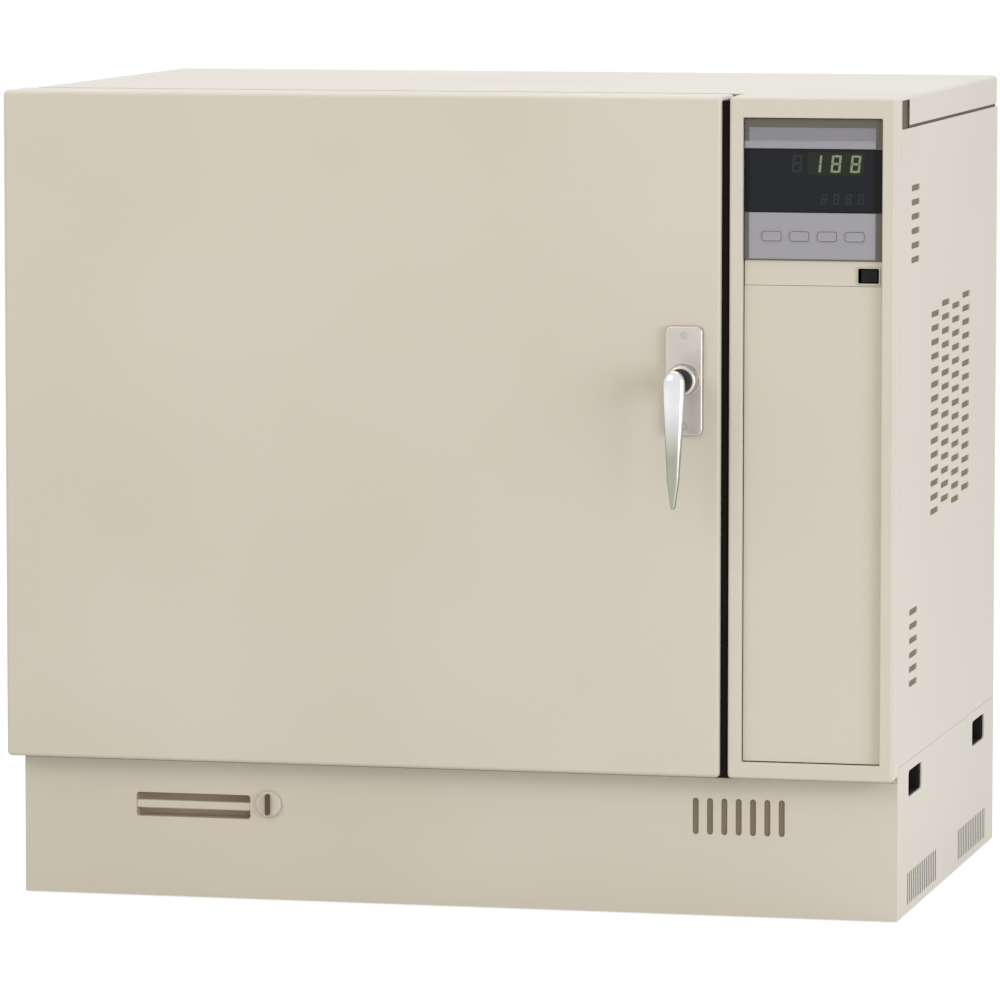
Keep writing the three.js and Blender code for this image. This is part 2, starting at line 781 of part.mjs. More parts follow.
// Holes for what passes from the compartment into the duct: the shaft, two heater leads and the probe
function servicePoints(grow) {
  const leadZ = fanZ - Math.sqrt(heaterRingRadius ** 2 - heaterLeadHalfGap ** 2);
  return [
    circlePoints(fanY, fanZ, shaftRadius + shaftWallClearance + grow, 20),
    circlePoints(fanY - heaterLeadHalfGap, leadZ, heaterRadius + seatGap + grow, 12),
    circlePoints(fanY + heaterLeadHalfGap, leadZ, heaterRadius + seatGap + grow, 12),
    circlePoints(fanY + probeFromFanY, fanZ + probeFromFanZ, probeRadius + seatGap + grow, 12),
  ];
}

function compartmentWall() {
  const outline = rectPoints(
    frameRearY + seatGap, backInnerY, deckTop + deckLip + seatGap, ovenHeight - sheet - seatGap,
  );
  const wall = alongX(shapeOf(outline, servicePoints(0)), compartmentWallX, compartmentWallX + sheet);
  return piece('compartment_wall', wall, galvanised);
}

// Chamber: one sheet is folded round the floor, the left wall and the ceiling. The right wall and the back
// are welded into it, and the front stays open.
const linerLeft = chamberLeft - linerSheet;
const linerRight = ductRight + linerSheet;
const linerFrontY = frameRearY + seatGap;
const linerBackY = chamberBackY - seatGap;

function chamberWrap() {
  const outer = block(
    linerLeft, linerRight, linerFrontY, linerBackY, chamberFloor - linerSheet, chamberTop + linerSheet,
  );
  const inner = block(
    chamberLeft, linerRight + overrun, linerFrontY - overrun, linerBackY + overrun, chamberFloor, chamberTop,
  );
  return piece('chamber_wrap', outer.subtract(inner), stainless);
}

function chamberRightWall() {
  const outline = rectPoints(linerFrontY, linerBackY, chamberFloor + seatGap, chamberTop - seatGap);
  return piece('chamber_right_wall', alongX(shapeOf(outline, servicePoints(0)), ductRight, linerRight), stainless);
}

function chamberBackWall() {
  const outline = rectPoints(linerLeft, linerRight, chamberFloor - linerSheet, chamberTop + linerSheet);
  const wall = alongY(shapeOf(outline, exhaustHoles(0)), chamberBackY, chamberBackY + linerSheet);
  return piece('chamber_back_wall', wall, stainless);
}

// Air baffle: the slotted wall between the chamber and the duct. Air is drawn in at the middle, in
// front of the fan, and comes back through two bands of slots near the front and the back.
const baffleSheet = 1;
const baffleSlotLength = 60;
const baffleSlotHeight = 7;
const bafflePitch = 36;
const baffleRows = 11;
const baffleEdgeInset = 62;
const inletPitch = 18;
const inletRows = 9;

function baffleSlots() {
  const holes = [];
  const bands = [linerFrontY + baffleEdgeInset, linerBackY - baffleEdgeInset];
  for (const y of bands) {
    for (let row = 0; row < baffleRows; row += 1) {
      const z = fanZ + (row - (baffleRows - 1) / 2) * bafflePitch;
      holes.push(slotPoints(y, z, baffleSlotLength, baffleSlotHeight));
    }
  }
  const inletReach = ((inletRows + 1) / 2) * inletPitch;
  for (let row = 0; row < inletRows; row += 1) {
    const rise = (row - (inletRows - 1) / 2) * inletPitch;
    const chord = Math.sqrt(inletReach ** 2 - rise ** 2);
    holes.push(slotPoints(fanY, fanZ + rise, chord * 2, baffleSlotHeight));
  }
  holes.push(circlePoints(fanY + probeFromFanY, fanZ + probeFromFanZ, probeRadius + seatGap, 12));
  return holes;
}

function airBaffle() {
  const outline = rectPoints(linerFrontY, linerBackY, chamberFloor + seatGap, chamberTop - seatGap);
  const baffle = alongX(shapeOf(outline, baffleSlots()), chamberRight, chamberRight + baffleSheet);
  return piece('air_baffle', baffle, stainless);
}

// Insulation: a mineral wool jacket round the chamber, open at the front
function insulationJacket() {
  const outer = block(
    cabinetLeft + foldRadius, compartmentWallX - seatGap, frameRearY + seatGap, backInnerY - panelFlange,
    deckTop + deckLip + seatGap, ovenHeight - sheet - seatGap,
  );
  const chamber = block(
    linerLeft - seatGap, linerRight + seatGap, frameRearY - overrun, chamberBackY + linerSheet + seatGap,
    chamberFloor - linerSheet - seatGap, chamberTop + linerSheet + seatGap,
  );
  const services = servicePoints(seatGap).map(
    (points) => alongX(shapeOf(points), linerRight - overrun, compartmentWallX + overrun),
  );
  const flue = rodY(
    chamberCentreX, exhaustZ, exhaustRingRadius + exhaustHoleRadius, chamberBackY - overrun, backY + overrun, 24,
  );
  return piece('insulation_jacket', cut(outer, [chamber, flue, ...services]), mineralWool);
}

// Shelf rails: two posts and two angle brackets a side
const railDepth = 14;
const railPostWidth = 16;
const railPostInset = 80;
const railEndInset = 12;
const bracketSheet = 2;
const bracketHeight = 12;
const bracketFrontInset = 32;
const bracketBackInset = 26;
const shelfRodRadius = 3;
const shelfPitch = 150;
const shelfLevels = [shelfPitch, 2 * shelfPitch];

function shelfRail(name, wallX, inward) {
  const low = chamberFloor + railEndInset;
  const high = chamberTop - railEndInset;
  const fromX = wallX + inward * seatGap;
  const postX = fromX + inward * bracketSheet;
  const tipX = fromX + inward * railDepth;
  const postYs = [linerFrontY + railPostInset, linerBackY - railPostInset];
  const parts = postYs.map((y) => block(
    Math.min(fromX, postX), Math.max(fromX, postX), y - railPostWidth / 2, y + railPostWidth / 2, low, high,
  ));
  for (const level of shelfLevels) {
    const top = chamberFloor + level - shelfRodRadius - seatGap;
    const frontEnd = linerFrontY + bracketFrontInset;
    const backEnd = linerBackY - bracketBackInset;
    parts.push(block(
      Math.min(fromX, tipX), Math.max(fromX, tipX), frontEnd, backEnd, top - bracketSheet, top,
    ));
    parts.push(block(
      Math.min(fromX, postX), Math.max(fromX, postX), frontEnd, backEnd, top - bracketHeight, top,
    ));
  }
  return piece(name, joined(parts), stainless);
}

// Shelves: a rod frame with thinner wires laid across it
const shelfSideGap = 4;
const shelfFrontInset = 26;
const shelfWireRadius = 2;
const shelfWireCount = 12;
const shelfRodSides = 4;

function wireShelf(name, level) {
  const z = chamberFloor + level;
  const left = chamberLeft + shelfSideGap + shelfRodRadius;
  const right = chamberRight - shelfSideGap - shelfRodRadius;
  const front = linerFrontY + shelfFrontInset;
  const back = linerBackY - shelfSideGap - shelfRodRadius;
  const parts = [
    rodX(front, z, shelfRodRadius, left, right, shelfRodSides),
    rodX(back, z, shelfRodRadius, left, right, shelfRodSides),
    rodX((front + back) / 2, z, shelfRodRadius, left, right, shelfRodSides),
    rodY(left, z, shelfRodRadius, front - shelfRodRadius, back + shelfRodRadius, shelfRodSides),
    rodY(right, z, shelfRodRadius, front - shelfRodRadius, back + shelfRodRadius, shelfRodSides),
  ];
  const wireZ = z + shelfWireRadius / 2;
  for (let i = 1; i <= shelfWireCount; i += 1) {
    const x = left + ((right - left) * i) / (shelfWireCount + 1);
    parts.push(rodY(x, wireZ, shelfWireRadius, front, back, shelfRodSides));
  }
  return piece(name, joined(parts), stainless);
}

// Fan: a drum wheel with forward-curved blades on the motor's long shaft
const wheelRadius = 92;
const bladeDepth = 18;
const wheelSides = 24;
const bladeCount = 20;
const bladeSheet = 1.6;
const bladeCurveRadius = 16;
const wheelWidth = 50;
const wheelPlate = 2;
const wheelRing = 6;
const wheelInset = 14;
const hubRadius = 15;
const hubLength = 22;

const wheelFromX = chamberRight + baffleSheet + wheelInset;
const wheelToX = wheelFromX + wheelWidth;

// One blade, seen along the fan's axis: a strip bent on an arc between the inner and outer radius
function bladeOutline(turn) {
  const steps = 2;
  const middle = wheelRadius - bladeDepth / 2;
  const half = Math.asin(bladeDepth / 2 / bladeCurveRadius);
  const outerArc = arcPoints(0, 0, bladeCurveRadius + bladeSheet / 2, -half, half, steps);
  const innerArc = arcPoints(0, 0, bladeCurveRadius - bladeSheet / 2, half, -half, steps);
  const lift = bladeCurveRadius * Math.cos(half);
  return [...outerArc, ...innerArc].map((point) => {
    const radial = middle + point.y;
    const tangential = point.x - lift;
    return new THREE.Vector2(
      fanY + radial * Math.cos(turn) - tangential * Math.sin(turn),
      fanZ + radial * Math.sin(turn) + tangential * Math.cos(turn),
    );
  });
}

function fanWheel() {
  const hubFrom = wheelToX - hubLength;
  const disc = rodX(fanY, fanZ, wheelRadius, wheelToX - wheelPlate, wheelToX, wheelSides);
  const hub = rodX(fanY, fanZ, hubRadius, hubFrom, wheelToX, 16);
  const ringHole = circlePoints(fanY, fanZ, wheelRadius - wheelRing, wheelSides);
  const ringShape = shapeOf(circlePoints(fanY, fanZ, wheelRadius, wheelSides), [ringHole]);
  const ring = alongX(ringShape, wheelFromX, wheelFromX + wheelPlate);
  const blades = [];
  for (let i = 0; i < bladeCount; i += 1) {
    const outline = bladeOutline((2 * Math.PI * i) / bladeCount);
    blades.push(alongX(shapeOf(outline), wheelFromX + wheelPlate / 2, wheelToX - wheelPlate / 2));
  }
  const bore = rodX(fanY, fanZ, shaftRadius + seatGap, hubFrom - overrun, wheelToX + overrun, 16);
  return piece('fan_wheel', joined([disc, hub, ring, ...blades]).subtract(bore), galvanised);
}

// Motor: a finned body with domed end bells, bolted to the compartment wall by its flange
const motorFlangeRadius = 68;
const motorFlange = 6;
const motorBodyRadius = 50;
const motorFinRadius = 56;
const motorFinCount = 14;
const motorNeck = 8;
const motorLength = 96;
const motorBell = 12;
const motorBellShare = 0.7;
const shaftIntoMotor = 12;
const motorFaceX = columnLeft + seatGap;

function fanShaft() {
  const from = wheelToX - hubLength - seatGap;
  const to = motorFaceX + shaftIntoMotor;
  return piece('fan_shaft', rodX(fanY, fanZ, shaftRadius, from, to, 16), stainless);
}

function fanMotor() {
  const bellRadius = motorBodyRadius * motorBellShare;
  const bodyFrom = motorFlange + motorNeck;
  const bodyTo = bodyFrom + motorLength;
  const profile = [
    [0, 0], [motorFlangeRadius, 0], [motorFlangeRadius, motorFlange], [bellRadius, motorFlange],
    [motorBodyRadius, bodyFrom], [motorBodyRadius, bodyTo], [bellRadius, bodyTo + motorBell],
    [0, bodyTo + motorBell],
  ];
  const body = revolved(profile, 24, 'x', motorFaceX, fanY, fanZ);
  const fins = [];
  for (let i = 0; i < motorFinCount; i += 1) {
    const angle = (2 * Math.PI * i) / motorFinCount;
    const section = rectPoints(motorBodyRadius - 2 * sheet, motorFinRadius, -sheet / 2, sheet / 2);
    const fin = extruded(section, motorLength - 2 * motorNeck);
    fin.rotateZ(angle);
    fin.applyMatrix4(new THREE.Matrix4().makeBasis(unitY, unitZ, unitX));
    fin.translate(motorFaceX + bodyFrom + motorNeck, fanY, fanZ);
    fins.push(toSolid(fin));
  }
  const bore = rodX(
    fanY, fanZ, shaftRadius + seatGap, motorFaceX - overrun, motorFaceX + shaftIntoMotor + seatGap, 16,
  );
  return piece('fan_motor', joined([body, ...fins]).subtract(bore), castAluminium);
}

// Heater: one sheathed tube that rings the fan and leaves the duct by two leads
const heaterX = wheelFromX + wheelWidth / 2;
const heaterBend = 16;
const heaterTail = 22;

class HeaterRing extends THREE.Curve {
  constructor(from, to) {
    super();
    this.from = from;
    this.to = to;
  }

  getPoint(t, target = new THREE.Vector3()) {
    const angle = this.from + (this.to - this.from) * t;
    return target.set(
      heaterX, fanY + heaterRingRadius * Math.cos(angle), fanZ + heaterRingRadius * Math.sin(angle),
    );
  }
}

function heaterTube() {
  const down = -Math.PI / 2;
  const leadAngle = Math.asin(heaterLeadHalfGap / heaterRingRadius);
  const bendAngle = heaterBend / heaterRingRadius;
  const start = down + leadAngle + bendAngle;
  const end = down + 2 * Math.PI - leadAngle - bendAngle;
  const ring = new HeaterRing(start, end);
  const leadZ = fanZ - Math.sqrt(heaterRingRadius ** 2 - heaterLeadHalfGap ** 2);
  const tailX = columnLeft + heaterTail;
  const first = new THREE.Vector3(tailX, fanY + heaterLeadHalfGap, leadZ);
  const last = new THREE.Vector3(tailX, fanY - heaterLeadHalfGap, leadZ);
  const firstBend = new THREE.Vector3(heaterX + heaterBend, first.y, first.z);
  const lastBend = new THREE.Vector3(heaterX + heaterBend, last.y, last.z);
  const path = new THREE.CurvePath();
  path.add(new THREE.LineCurve3(first, firstBend));
  path.add(new THREE.QuadraticBezierCurve3(
    firstBend, new THREE.Vector3(heaterX, first.y, first.z), ring.getPoint(0),
  ));
  path.add(ring);
  path.add(new THREE.QuadraticBezierCurve3(
    ring.getPoint(1), new THREE.Vector3(heaterX, last.y, last.z), lastBend,
  ));
  path.add(new THREE.LineCurve3(lastBend, last));
  const section = new THREE.Shape(circlePoints(0, 0, heaterRadius, 6));
  const tube = new THREE.ExtrudeGeometry(section, { steps: 48, extrudePath: path, bevelEnabled: false });
  return piece('heater_tube', toSolid(tube), heaterSteel);
}

// Temperature probe: a sheathed rod through the wall, with a gland nut in the compartment
const probeReach = 12;
const probeNutRadius = 9;
const probeNutLength = 10;

function temperatureProbe() {
  const tipX = chamberRight - probeReach;
  const nutFrom = columnLeft + seatGap;
  const nutTo = nutFrom + probeNutLength;
  const y = fanY + probeFromFanY;
  const z = fanZ + probeFromFanZ;
  const rod = rodX(y, z, probeRadius, tipX, nutTo + probeNutLength, 10);
  const nut = rodX(y, z, probeNutRadius, nutFrom, nutTo, 6);
  return piece('temperature_probe', rod.add(nut), stainless);
}

// Power unit: a finned heat sink with its switching block, on the compartment wall
const powerUnitFromFan = 24;
const powerUnitDrop = 208;
const powerUnitY = fanY + powerUnitFromFan;
const powerUnitZ = fanZ - powerUnitDrop;
const powerUnitWidth = 150;
const powerUnitHeight = 130;
const powerUnitBase = 8;
const powerUnitBlock = 24;
const powerFinCount = 9;
const powerFinHeight = 40;
const powerFinThickness = 3;

function powerUnit() {
  const baseX = columnLeft + seatGap;
  const left = powerUnitY - powerUnitWidth / 2;
  const right = powerUnitY + powerUnitWidth / 2;
  const blockHigh = baseX + powerUnitBase + powerUnitBlock;
  const parts = [block(
    baseX, baseX + powerUnitBase, left, right, powerUnitZ - powerUnitHeight / 2, powerUnitZ + powerUnitHeight / 2,
  )];
  for (let i = 0; i < powerFinCount; i += 1) {
    const y = left + ((right - left - powerFinThickness) * i) / (powerFinCount - 1);
    parts.push(block(
      baseX + powerUnitBase / 2, baseX + powerUnitBase + powerFinHeight, y, y + powerFinThickness,
      powerUnitZ - powerUnitHeight / 2, powerUnitZ,
    ));
  }
  parts.push(block(
    baseX + powerUnitBase / 2, blockHigh, left, right,
    powerUnitZ + powerFinThickness, powerUnitZ + powerUnitHeight / 2,
  ));
  return piece('power_unit', joined(parts), castAluminium);
}

// Controller: a moulded housing with a dark window band above a field of keys
const controllerHeight = 136;
const windowFit = 0.8;
const controllerProud = 2;
const controllerRim = 4;
const controllerBodyDepth = 74;
const displayHeight = 61;
const displayFromTop = 29;
const displayThickness = 2.4;
const keyWidth = 18;
const keyHeight = 9;
const keyCount = 4;
const keyPitch = 27;
const keyFromBottom = 23;
const keyTravel = 1.2;
const keyProud = 1.6;
const keyStem = 6;

const controllerTop = windowTop - windowFit;
const controllerBottom = controllerTop - controllerHeight;
const controllerLeft = windowLeft + windowFit;
const controllerRight = windowRight - windowFit;
const controllerFaceY = plateFaceY - controllerProud;
const displayTop = controllerTop - displayFromTop;
const displayBottom = displayTop - displayHeight;
const keyZ = controllerBottom + keyFromBottom;

function keyCentre(index) {
  return columnCentreX + (index - (keyCount - 1) / 2) * keyPitch;
}

function keyOutline(index, grow) {
  const x = keyCentre(index);
  return roundRectPoints(
    x - keyWidth / 2 - grow, x + keyWidth / 2 + grow,
    keyZ - keyHeight / 2 - grow, keyZ + keyHeight / 2 + grow, keyHeight / 4,
  );
}

function controllerHousing() {
  const face = alongY(
    shapeOf(roundRectPoints(
      controllerLeft, controllerRight, controllerBottom, controllerTop, controllerProud,
    )),
    controllerFaceY, plateFaceY + seatGap,
  );
  const body = block(
    controllerLeft + controllerRim, controllerRight - controllerRim,
    plateFaceY, plateFaceY + controllerBodyDepth,
    controllerBottom + controllerRim, controllerTop - controllerRim,
  );
  const displayPocket = block(
    controllerLeft - overrun, controllerRight + overrun,
    controllerFaceY - overrun, controllerFaceY + displayThickness,
    displayBottom - seatGap, displayTop + seatGap,
  );
  const pockets = [displayPocket];
  for (let i = 0; i < keyCount; i += 1) {
    pockets.push(alongY(
      shapeOf(keyOutline(i, seatGap)), controllerFaceY - overrun, controllerFaceY + keyStem + keyTravel + seatGap,
    ));
  }
  return piece('controller_housing', cut(face.add(body), pockets), greyPlastic);
}

function displayWindow() {
  const pane = alongY(
    shapeOf(rectPoints(controllerLeft, controllerRight, displayBottom, displayTop)),
    controllerFaceY - seatGap, controllerFaceY + displayThickness - seatGap,
  );
  return piece('display_window', pane, darkWindow);
}

function controllerKey(index) {
  const cap = frontPad(
    keyOutline(index, 0), controllerFaceY - keyProud, controllerFaceY + keyStem, keyProud / 2,
  );
  return piece(`key_${index + 1}`, cap, greyPlastic);
}

// The strip under the controller holds the power rocker, and a plain plate fills the rest
const switchPlateHeight = 24;
const rockerFromRight = 14;
const rockerFromTop = 14;
const rockerWidth = 21;
const rockerHeight = 15;
const rockerBezel = 1;
const rockerBezelProud = 1.5;
const rockerBodyDepth = 20;
const rockerTilt = 8;
const rockerPivotDepth = 5;
const rockerEndGap = 1.6;
const rockerHeelShare = 0.8;

const switchPlateTop = controllerBottom - seatGap;
const switchPlateBottom = switchPlateTop - switchPlateHeight;
const rockerX = windowRight - rockerFromRight;
const rockerZ = switchPlateTop - rockerFromTop;

function rockerOutline(grow) {
  return rectPoints(
    rockerX - rockerWidth / 2 - grow, rockerX + rockerWidth / 2 + grow,
    rockerZ - rockerHeight / 2 - grow, rockerZ + rockerHeight / 2 + grow,
  );
}

function fillerPlate(low, high, holes) {
  return alongY(shapeOf(rectPoints(windowLeft + windowFit, windowRight - windowFit, low, high), holes),
    plateFaceY, plateFaceY + sheet);
}

function switchPlate() {
  return piece(
    'switch_plate', fillerPlate(switchPlateBottom, switchPlateTop, [rockerOutline(seatGap)]), beigePaint,
  );
}

function rockerHousing() {
  const bezelFrom = plateFaceY - rockerBezelProud;
  const bezel = alongY(shapeOf(rockerOutline(rockerBezel)), bezelFrom, plateFaceY - seatGap);
  const body = alongY(shapeOf(rockerOutline(0)), bezelFrom, plateFaceY + rockerBodyDepth);
  const hollow = alongY(
    shapeOf(rockerOutline(-rockerBezel)), bezelFrom - overrun, plateFaceY + rockerBodyDepth - rockerBezel,
  );
  return piece('rocker_housing', bezel.add(body).subtract(hollow), blackPlastic);
}

// The rocker is a shallow wedge that tips about an upright pin behind its face. It rests tipped to one side.
function rockerSwitch() {
  const half = rockerWidth / 2 - rockerBezel - rockerEndGap;
  const pivotY = plateFaceY + rockerPivotDepth;
  const tilt = THREE.MathUtils.degToRad(rockerTilt);
  const faceY = -rockerPivotDepth - rockerBezelProud;
  const plan = [
    new THREE.Vector2(-half, faceY),
    new THREE.Vector2(0, faceY + rockerBezelProud),
    new THREE.Vector2(half, faceY),
    new THREE.Vector2(half * rockerHeelShare, rockerPivotDepth / 2),
    new THREE.Vector2(0, rockerPivotDepth),
    new THREE.Vector2(-half * rockerHeelShare, rockerPivotDepth / 2),
  ].map((point) => point.rotateAround(new THREE.Vector2(0, 0), tilt).add(new THREE.Vector2(rockerX, pivotY)));
  const halfHeight = rockerHeight / 2 - rockerBezel - seatGap;
  return piece('rocker', alongZ(shapeOf(plan), rockerZ - halfHeight, rockerZ + halfHeight), blackPlastic);
}

// The blank plate has two shallow grooves across it, where extra instruments could be fitted
const grooveDepth = 0.7;
const grooveHeight = 1.6;
const grooveDrops = [123, 193];

function blankPlate() {
  const top = switchPlateBottom - seatGap;
  const plate = fillerPlate(windowBottom + windowFit, top, []);
  const grooves = grooveDrops.map((drop) => block(
    windowLeft, windowRight, plateFaceY - overrun, plateFaceY + grooveDepth,
    top - drop - grooveHeight / 2, top - drop + grooveHeight / 2,
  ));
  return piece('blank_plate', cut(plate, grooves), beigePaint);
}

// Door: a deep folded shell filled with insulation and closed by a stainless inner panel
const doorEdgeRadius = 4;
const doorPanelInset = 7;
const doorPanLift = 4;
const doorPanInset = 20;
const gasketWidth = 16;
const gasketOutset = 26;
const gasketGap = 0.5;
const gasketRadius = 14;

function doorOuterShell() {
  const outer = frontPad(
    rectPoints(doorLeft, doorRight, upperBottom, ovenHeight), frontY, doorBackY, doorEdgeRadius,
  );
  const inner = block(
    doorLeft + sheet, doorRight - sheet, frontY + sheet, doorBackY + overrun,
    upperBottom + sheet, ovenHeight - sheet,
  );
  const spindle = rodY(latchX, latchZ, spindleRadius + seatGap, frontY - overrun, frontY + overrun, 16);
  return piece('door_outer_shell', cut(outer, [inner, spindle]), beigePaint);
}

// Handle: a screwed-on base with a round boss, and a tapered lever on a spindle through the door
const handleBaseWidth = 37;
const handleBaseAbove = 52;
const handleBaseBelow = 54;
const handleBaseThickness = 6;
const handleBaseRadius = 5;
const bossRadius = 15;
const bossHeight = 16;
const spindleRadius = 5;
const leverStand = 46;
const leverNeckRadius = 12;
const leverTopWidth = 22;
const leverTipWidth = 11;
const leverTopThickness = 13;
const leverTipThickness = 7;
const leverRise = 11;
const leverDrop = 121;
const leverSections = 8;
const leverEndShare = 0.25;
const leverEndRoundShare = 0.93;
const neckFrontShare = 0.8;
const bossFrontShare = 0.86;
const camLength = 15;
const camThickness = 5;
const camDepth = 12;

function handleBase() {
  const plate = frontPad(
    roundRectPoints(
      latchX - handleBaseWidth / 2, latchX + handleBaseWidth / 2,
      latchZ - handleBaseBelow, latchZ + handleBaseAbove, handleBaseRadius,
    ),
    frontY - seatGap - handleBaseThickness, frontY - seatGap, handleBaseThickness / 3,
  );
  const bossFront = frontY - seatGap - handleBaseThickness - bossHeight;
  const bossBack = frontY - seatGap - handleBaseThickness / 2;
  const boss = revolved(
    [[0, bossFront], [bossRadius * bossFrontShare, bossFront], [bossRadius, bossFront + handleBaseThickness / 3],
      [bossRadius, bossBack], [0, bossBack]],
    24, 'y', latchX, 0, latchZ,
  );
  const bore = rodY(latchX, latchZ, spindleRadius + seatGap, bossFront - overrun, frontY + overrun, 16);
  return piece('handle_base', plate.add(boss).subtract(bore), chrome);
}

// The lever's grip is lofted through rounded sections that narrow and thin towards the tip
function leverGrip() {
  const sides = 12;
  const faceY = frontY - leverStand - leverTopThickness;
  const positions = [];
  const faces = [];
  for (let i = 0; i <= leverSections; i += 1) {
    const along = i / leverSections;
    const ease = along * along * (3 - 2 * along);
    const pastFull = Math.max(0, Math.abs(2 * along - 1) - (1 - leverEndShare)) / leverEndShare;
    const endTaper = Math.sqrt(1 - (pastFull * leverEndRoundShare) ** 2);
    const z = latchZ + leverRise - (leverRise + leverDrop) * along;
    const fullThickness = leverTopThickness + (leverTipThickness - leverTopThickness) * ease;
    const halfWidth = (endTaper * (leverTopWidth + (leverTipWidth - leverTopWidth) * ease)) / 2;
    const halfThickness = (endTaper * fullThickness) / 2;
    const centreY = faceY + fullThickness / 2;
    for (let k = 0; k < sides; k += 1) {
      const angle = (2 * Math.PI * k) / sides;
      positions.push(latchX + halfWidth * Math.cos(angle), centreY + halfThickness * Math.sin(angle), z);
    }
  }
  for (let i = 0; i < leverSections; i += 1) {
    for (let k = 0; k < sides; k += 1) {
      const next = (k + 1) % sides;
      const a = i * sides + k;
      const b = i * sides + next;
      const c = a + sides;
      const d = b + sides;
      faces.push(a, c, b, b, c, d);
    }
  }
  const last = leverSections * sides;
  for (let k = 1; k < sides - 1; k += 1) {
    faces.push(0, k, k + 1);
    faces.push(last, last + k + 1, last + k);
  }
  const geometry = new THREE.BufferGeometry();
  geometry.setAttribute('position', new THREE.Float32BufferAttribute(positions, 3));
  geometry.setIndex(faces);
  return toSolid(geometry);
}

function handleLever() {
  const bossFront = frontY - seatGap - handleBaseThickness - bossHeight;
  const neckBack = bossFront - seatGap;
  const neckFront = frontY - leverStand - leverTopThickness / 2;
  const neck = revolved(
    [[0, neckFront], [leverNeckRadius * neckFrontShare, neckFront], [leverNeckRadius, neckBack], [0, neckBack]],
    20, 'y', latchX, 0, latchZ,
  );
  const spindle = rodY(latchX, latchZ, spindleRadius, neckBack - seatGap, camFromY, 16);
  return piece('handle_lever', joined([leverGrip(), neck, spindle]), chrome);
}

const innerPanelFromY = doorBackY + seatGap;
const innerPanelToY = innerPanelFromY + linerSheet;
const camFromY = innerPanelToY + seatGap;

// The cam on the spindle's inner end stands in the front frame's strike hole
function latchCam() {
  const camTo = camFromY + camDepth;
  const outline = slotPoints(
    latchX + (camLength - camThickness) / 2, latchZ, camLength + camThickness, camThickness * 2,
  );
  const arm = alongY(shapeOf(outline), camFromY + seatGap, camTo);
  return piece('latch_cam', arm, castAluminium);
}

function doorInnerPanel() {
  const left = doorLeft + doorPanelInset;
  const right = doorRight - doorPanelInset;
  const low = upperBottom + doorPanelInset;
  const high = ovenHeight - doorPanelInset;
  const plate = alongY(shapeOf(rectPoints(left, right, low, high)), innerPanelFromY, innerPanelToY);
  const panOutline = (inset) => shapeOf(roundRectPoints(
    chamberLeft + inset, chamberRight - inset, chamberFloor + inset, chamberTop - inset, doorPanInset,
  ));
  const pan = alongY(panOutline(doorPanInset), innerPanelToY - linerSheet / 2, innerPanelToY + doorPanLift);
  const behindPan = alongY(
    panOutline(doorPanInset + linerSheet), innerPanelFromY - overrun, innerPanelToY + doorPanLift - linerSheet,
  );
  const spindle = rodY(
    latchX, latchZ, spindleRadius + seatGap, innerPanelFromY - overrun, innerPanelToY + overrun, 16,
  );
  return piece('door_inner_panel', cut(plate.add(pan), [behindPan, spindle]), stainless);
}

function doorInsulation() {
  const pad = block(
    doorLeft + shellGap, doorRight - shellGap, frontY + shellGap, doorBackY,
    upperBottom + shellGap, ovenHeight - shellGap,
  );
  const spindle = rodY(latchX, latchZ, spindleRadius + seatGap, frontY, doorBackY + overrun, 16);
  return piece('door_insulation', pad.subtract(spindle), mineralWool);
}

// Gasket: a braided rope on the inner panel that rings the chamber mouth
function doorGasket() {
  const outer = gasketOutset;
  const inner = gasketOutset - gasketWidth;
  const ringOutline = (grow, radius) => roundRectPoints(
    chamberLeft - grow, chamberRight + grow, chamberFloor - grow, chamberTop + grow, radius,
  );
  const shape = shapeOf(ringOutline(outer, gasketRadius + gasketWidth), [ringOutline(inner, gasketRadius)]);
  return piece('door_gasket', alongY(shape, innerPanelToY + seatGap, doorSeatDepth - gasketGap), glassRope);
}

// Hinges: a leaf on the door's left edge and one on the cabinet's left side share a pin line outside both
const hingeAxisOut = 13;
const hingeAxisY = 47;
const knuckleRadius = 6;
const hingePinRadius = 2.5;
const leafThickness = 2.5;
const leafLength = 36;
const leafHeight = 70;
const hingeFromEnd = 100;

const hingeX = cabinetLeft - hingeAxisOut;

// The cabinet leaf has the lower knuckle and the fixed pin
function cabinetHingeLeaf(name, centreZ) {
  const low = centreZ - leafHeight / 2;
  const leafOut = cabinetLeft - seatGap - leafThickness;
  const leaf = block(
    leafOut, cabinetLeft - seatGap, hingeAxisY, hingeAxisY + knuckleRadius + leafLength, low, centreZ - seatGap,
  );
  const knuckle = rodZ(hingeX, hingeAxisY, knuckleRadius, low, centreZ - seatGap, 16);
  const pinTop = centreZ + leafHeight / 2 - knuckleRadius;
  const pin = rodZ(hingeX, hingeAxisY, hingePinRadius, centreZ - knuckleRadius, pinTop, 12);
  const web = block(
    hingeX, leafOut + leafThickness / 2,
    hingeAxisY + knuckleRadius - leafThickness, hingeAxisY + knuckleRadius, low, centreZ - seatGap,
  );
  return piece(name, joined([leaf, knuckle, pin, web]), stainless);
}

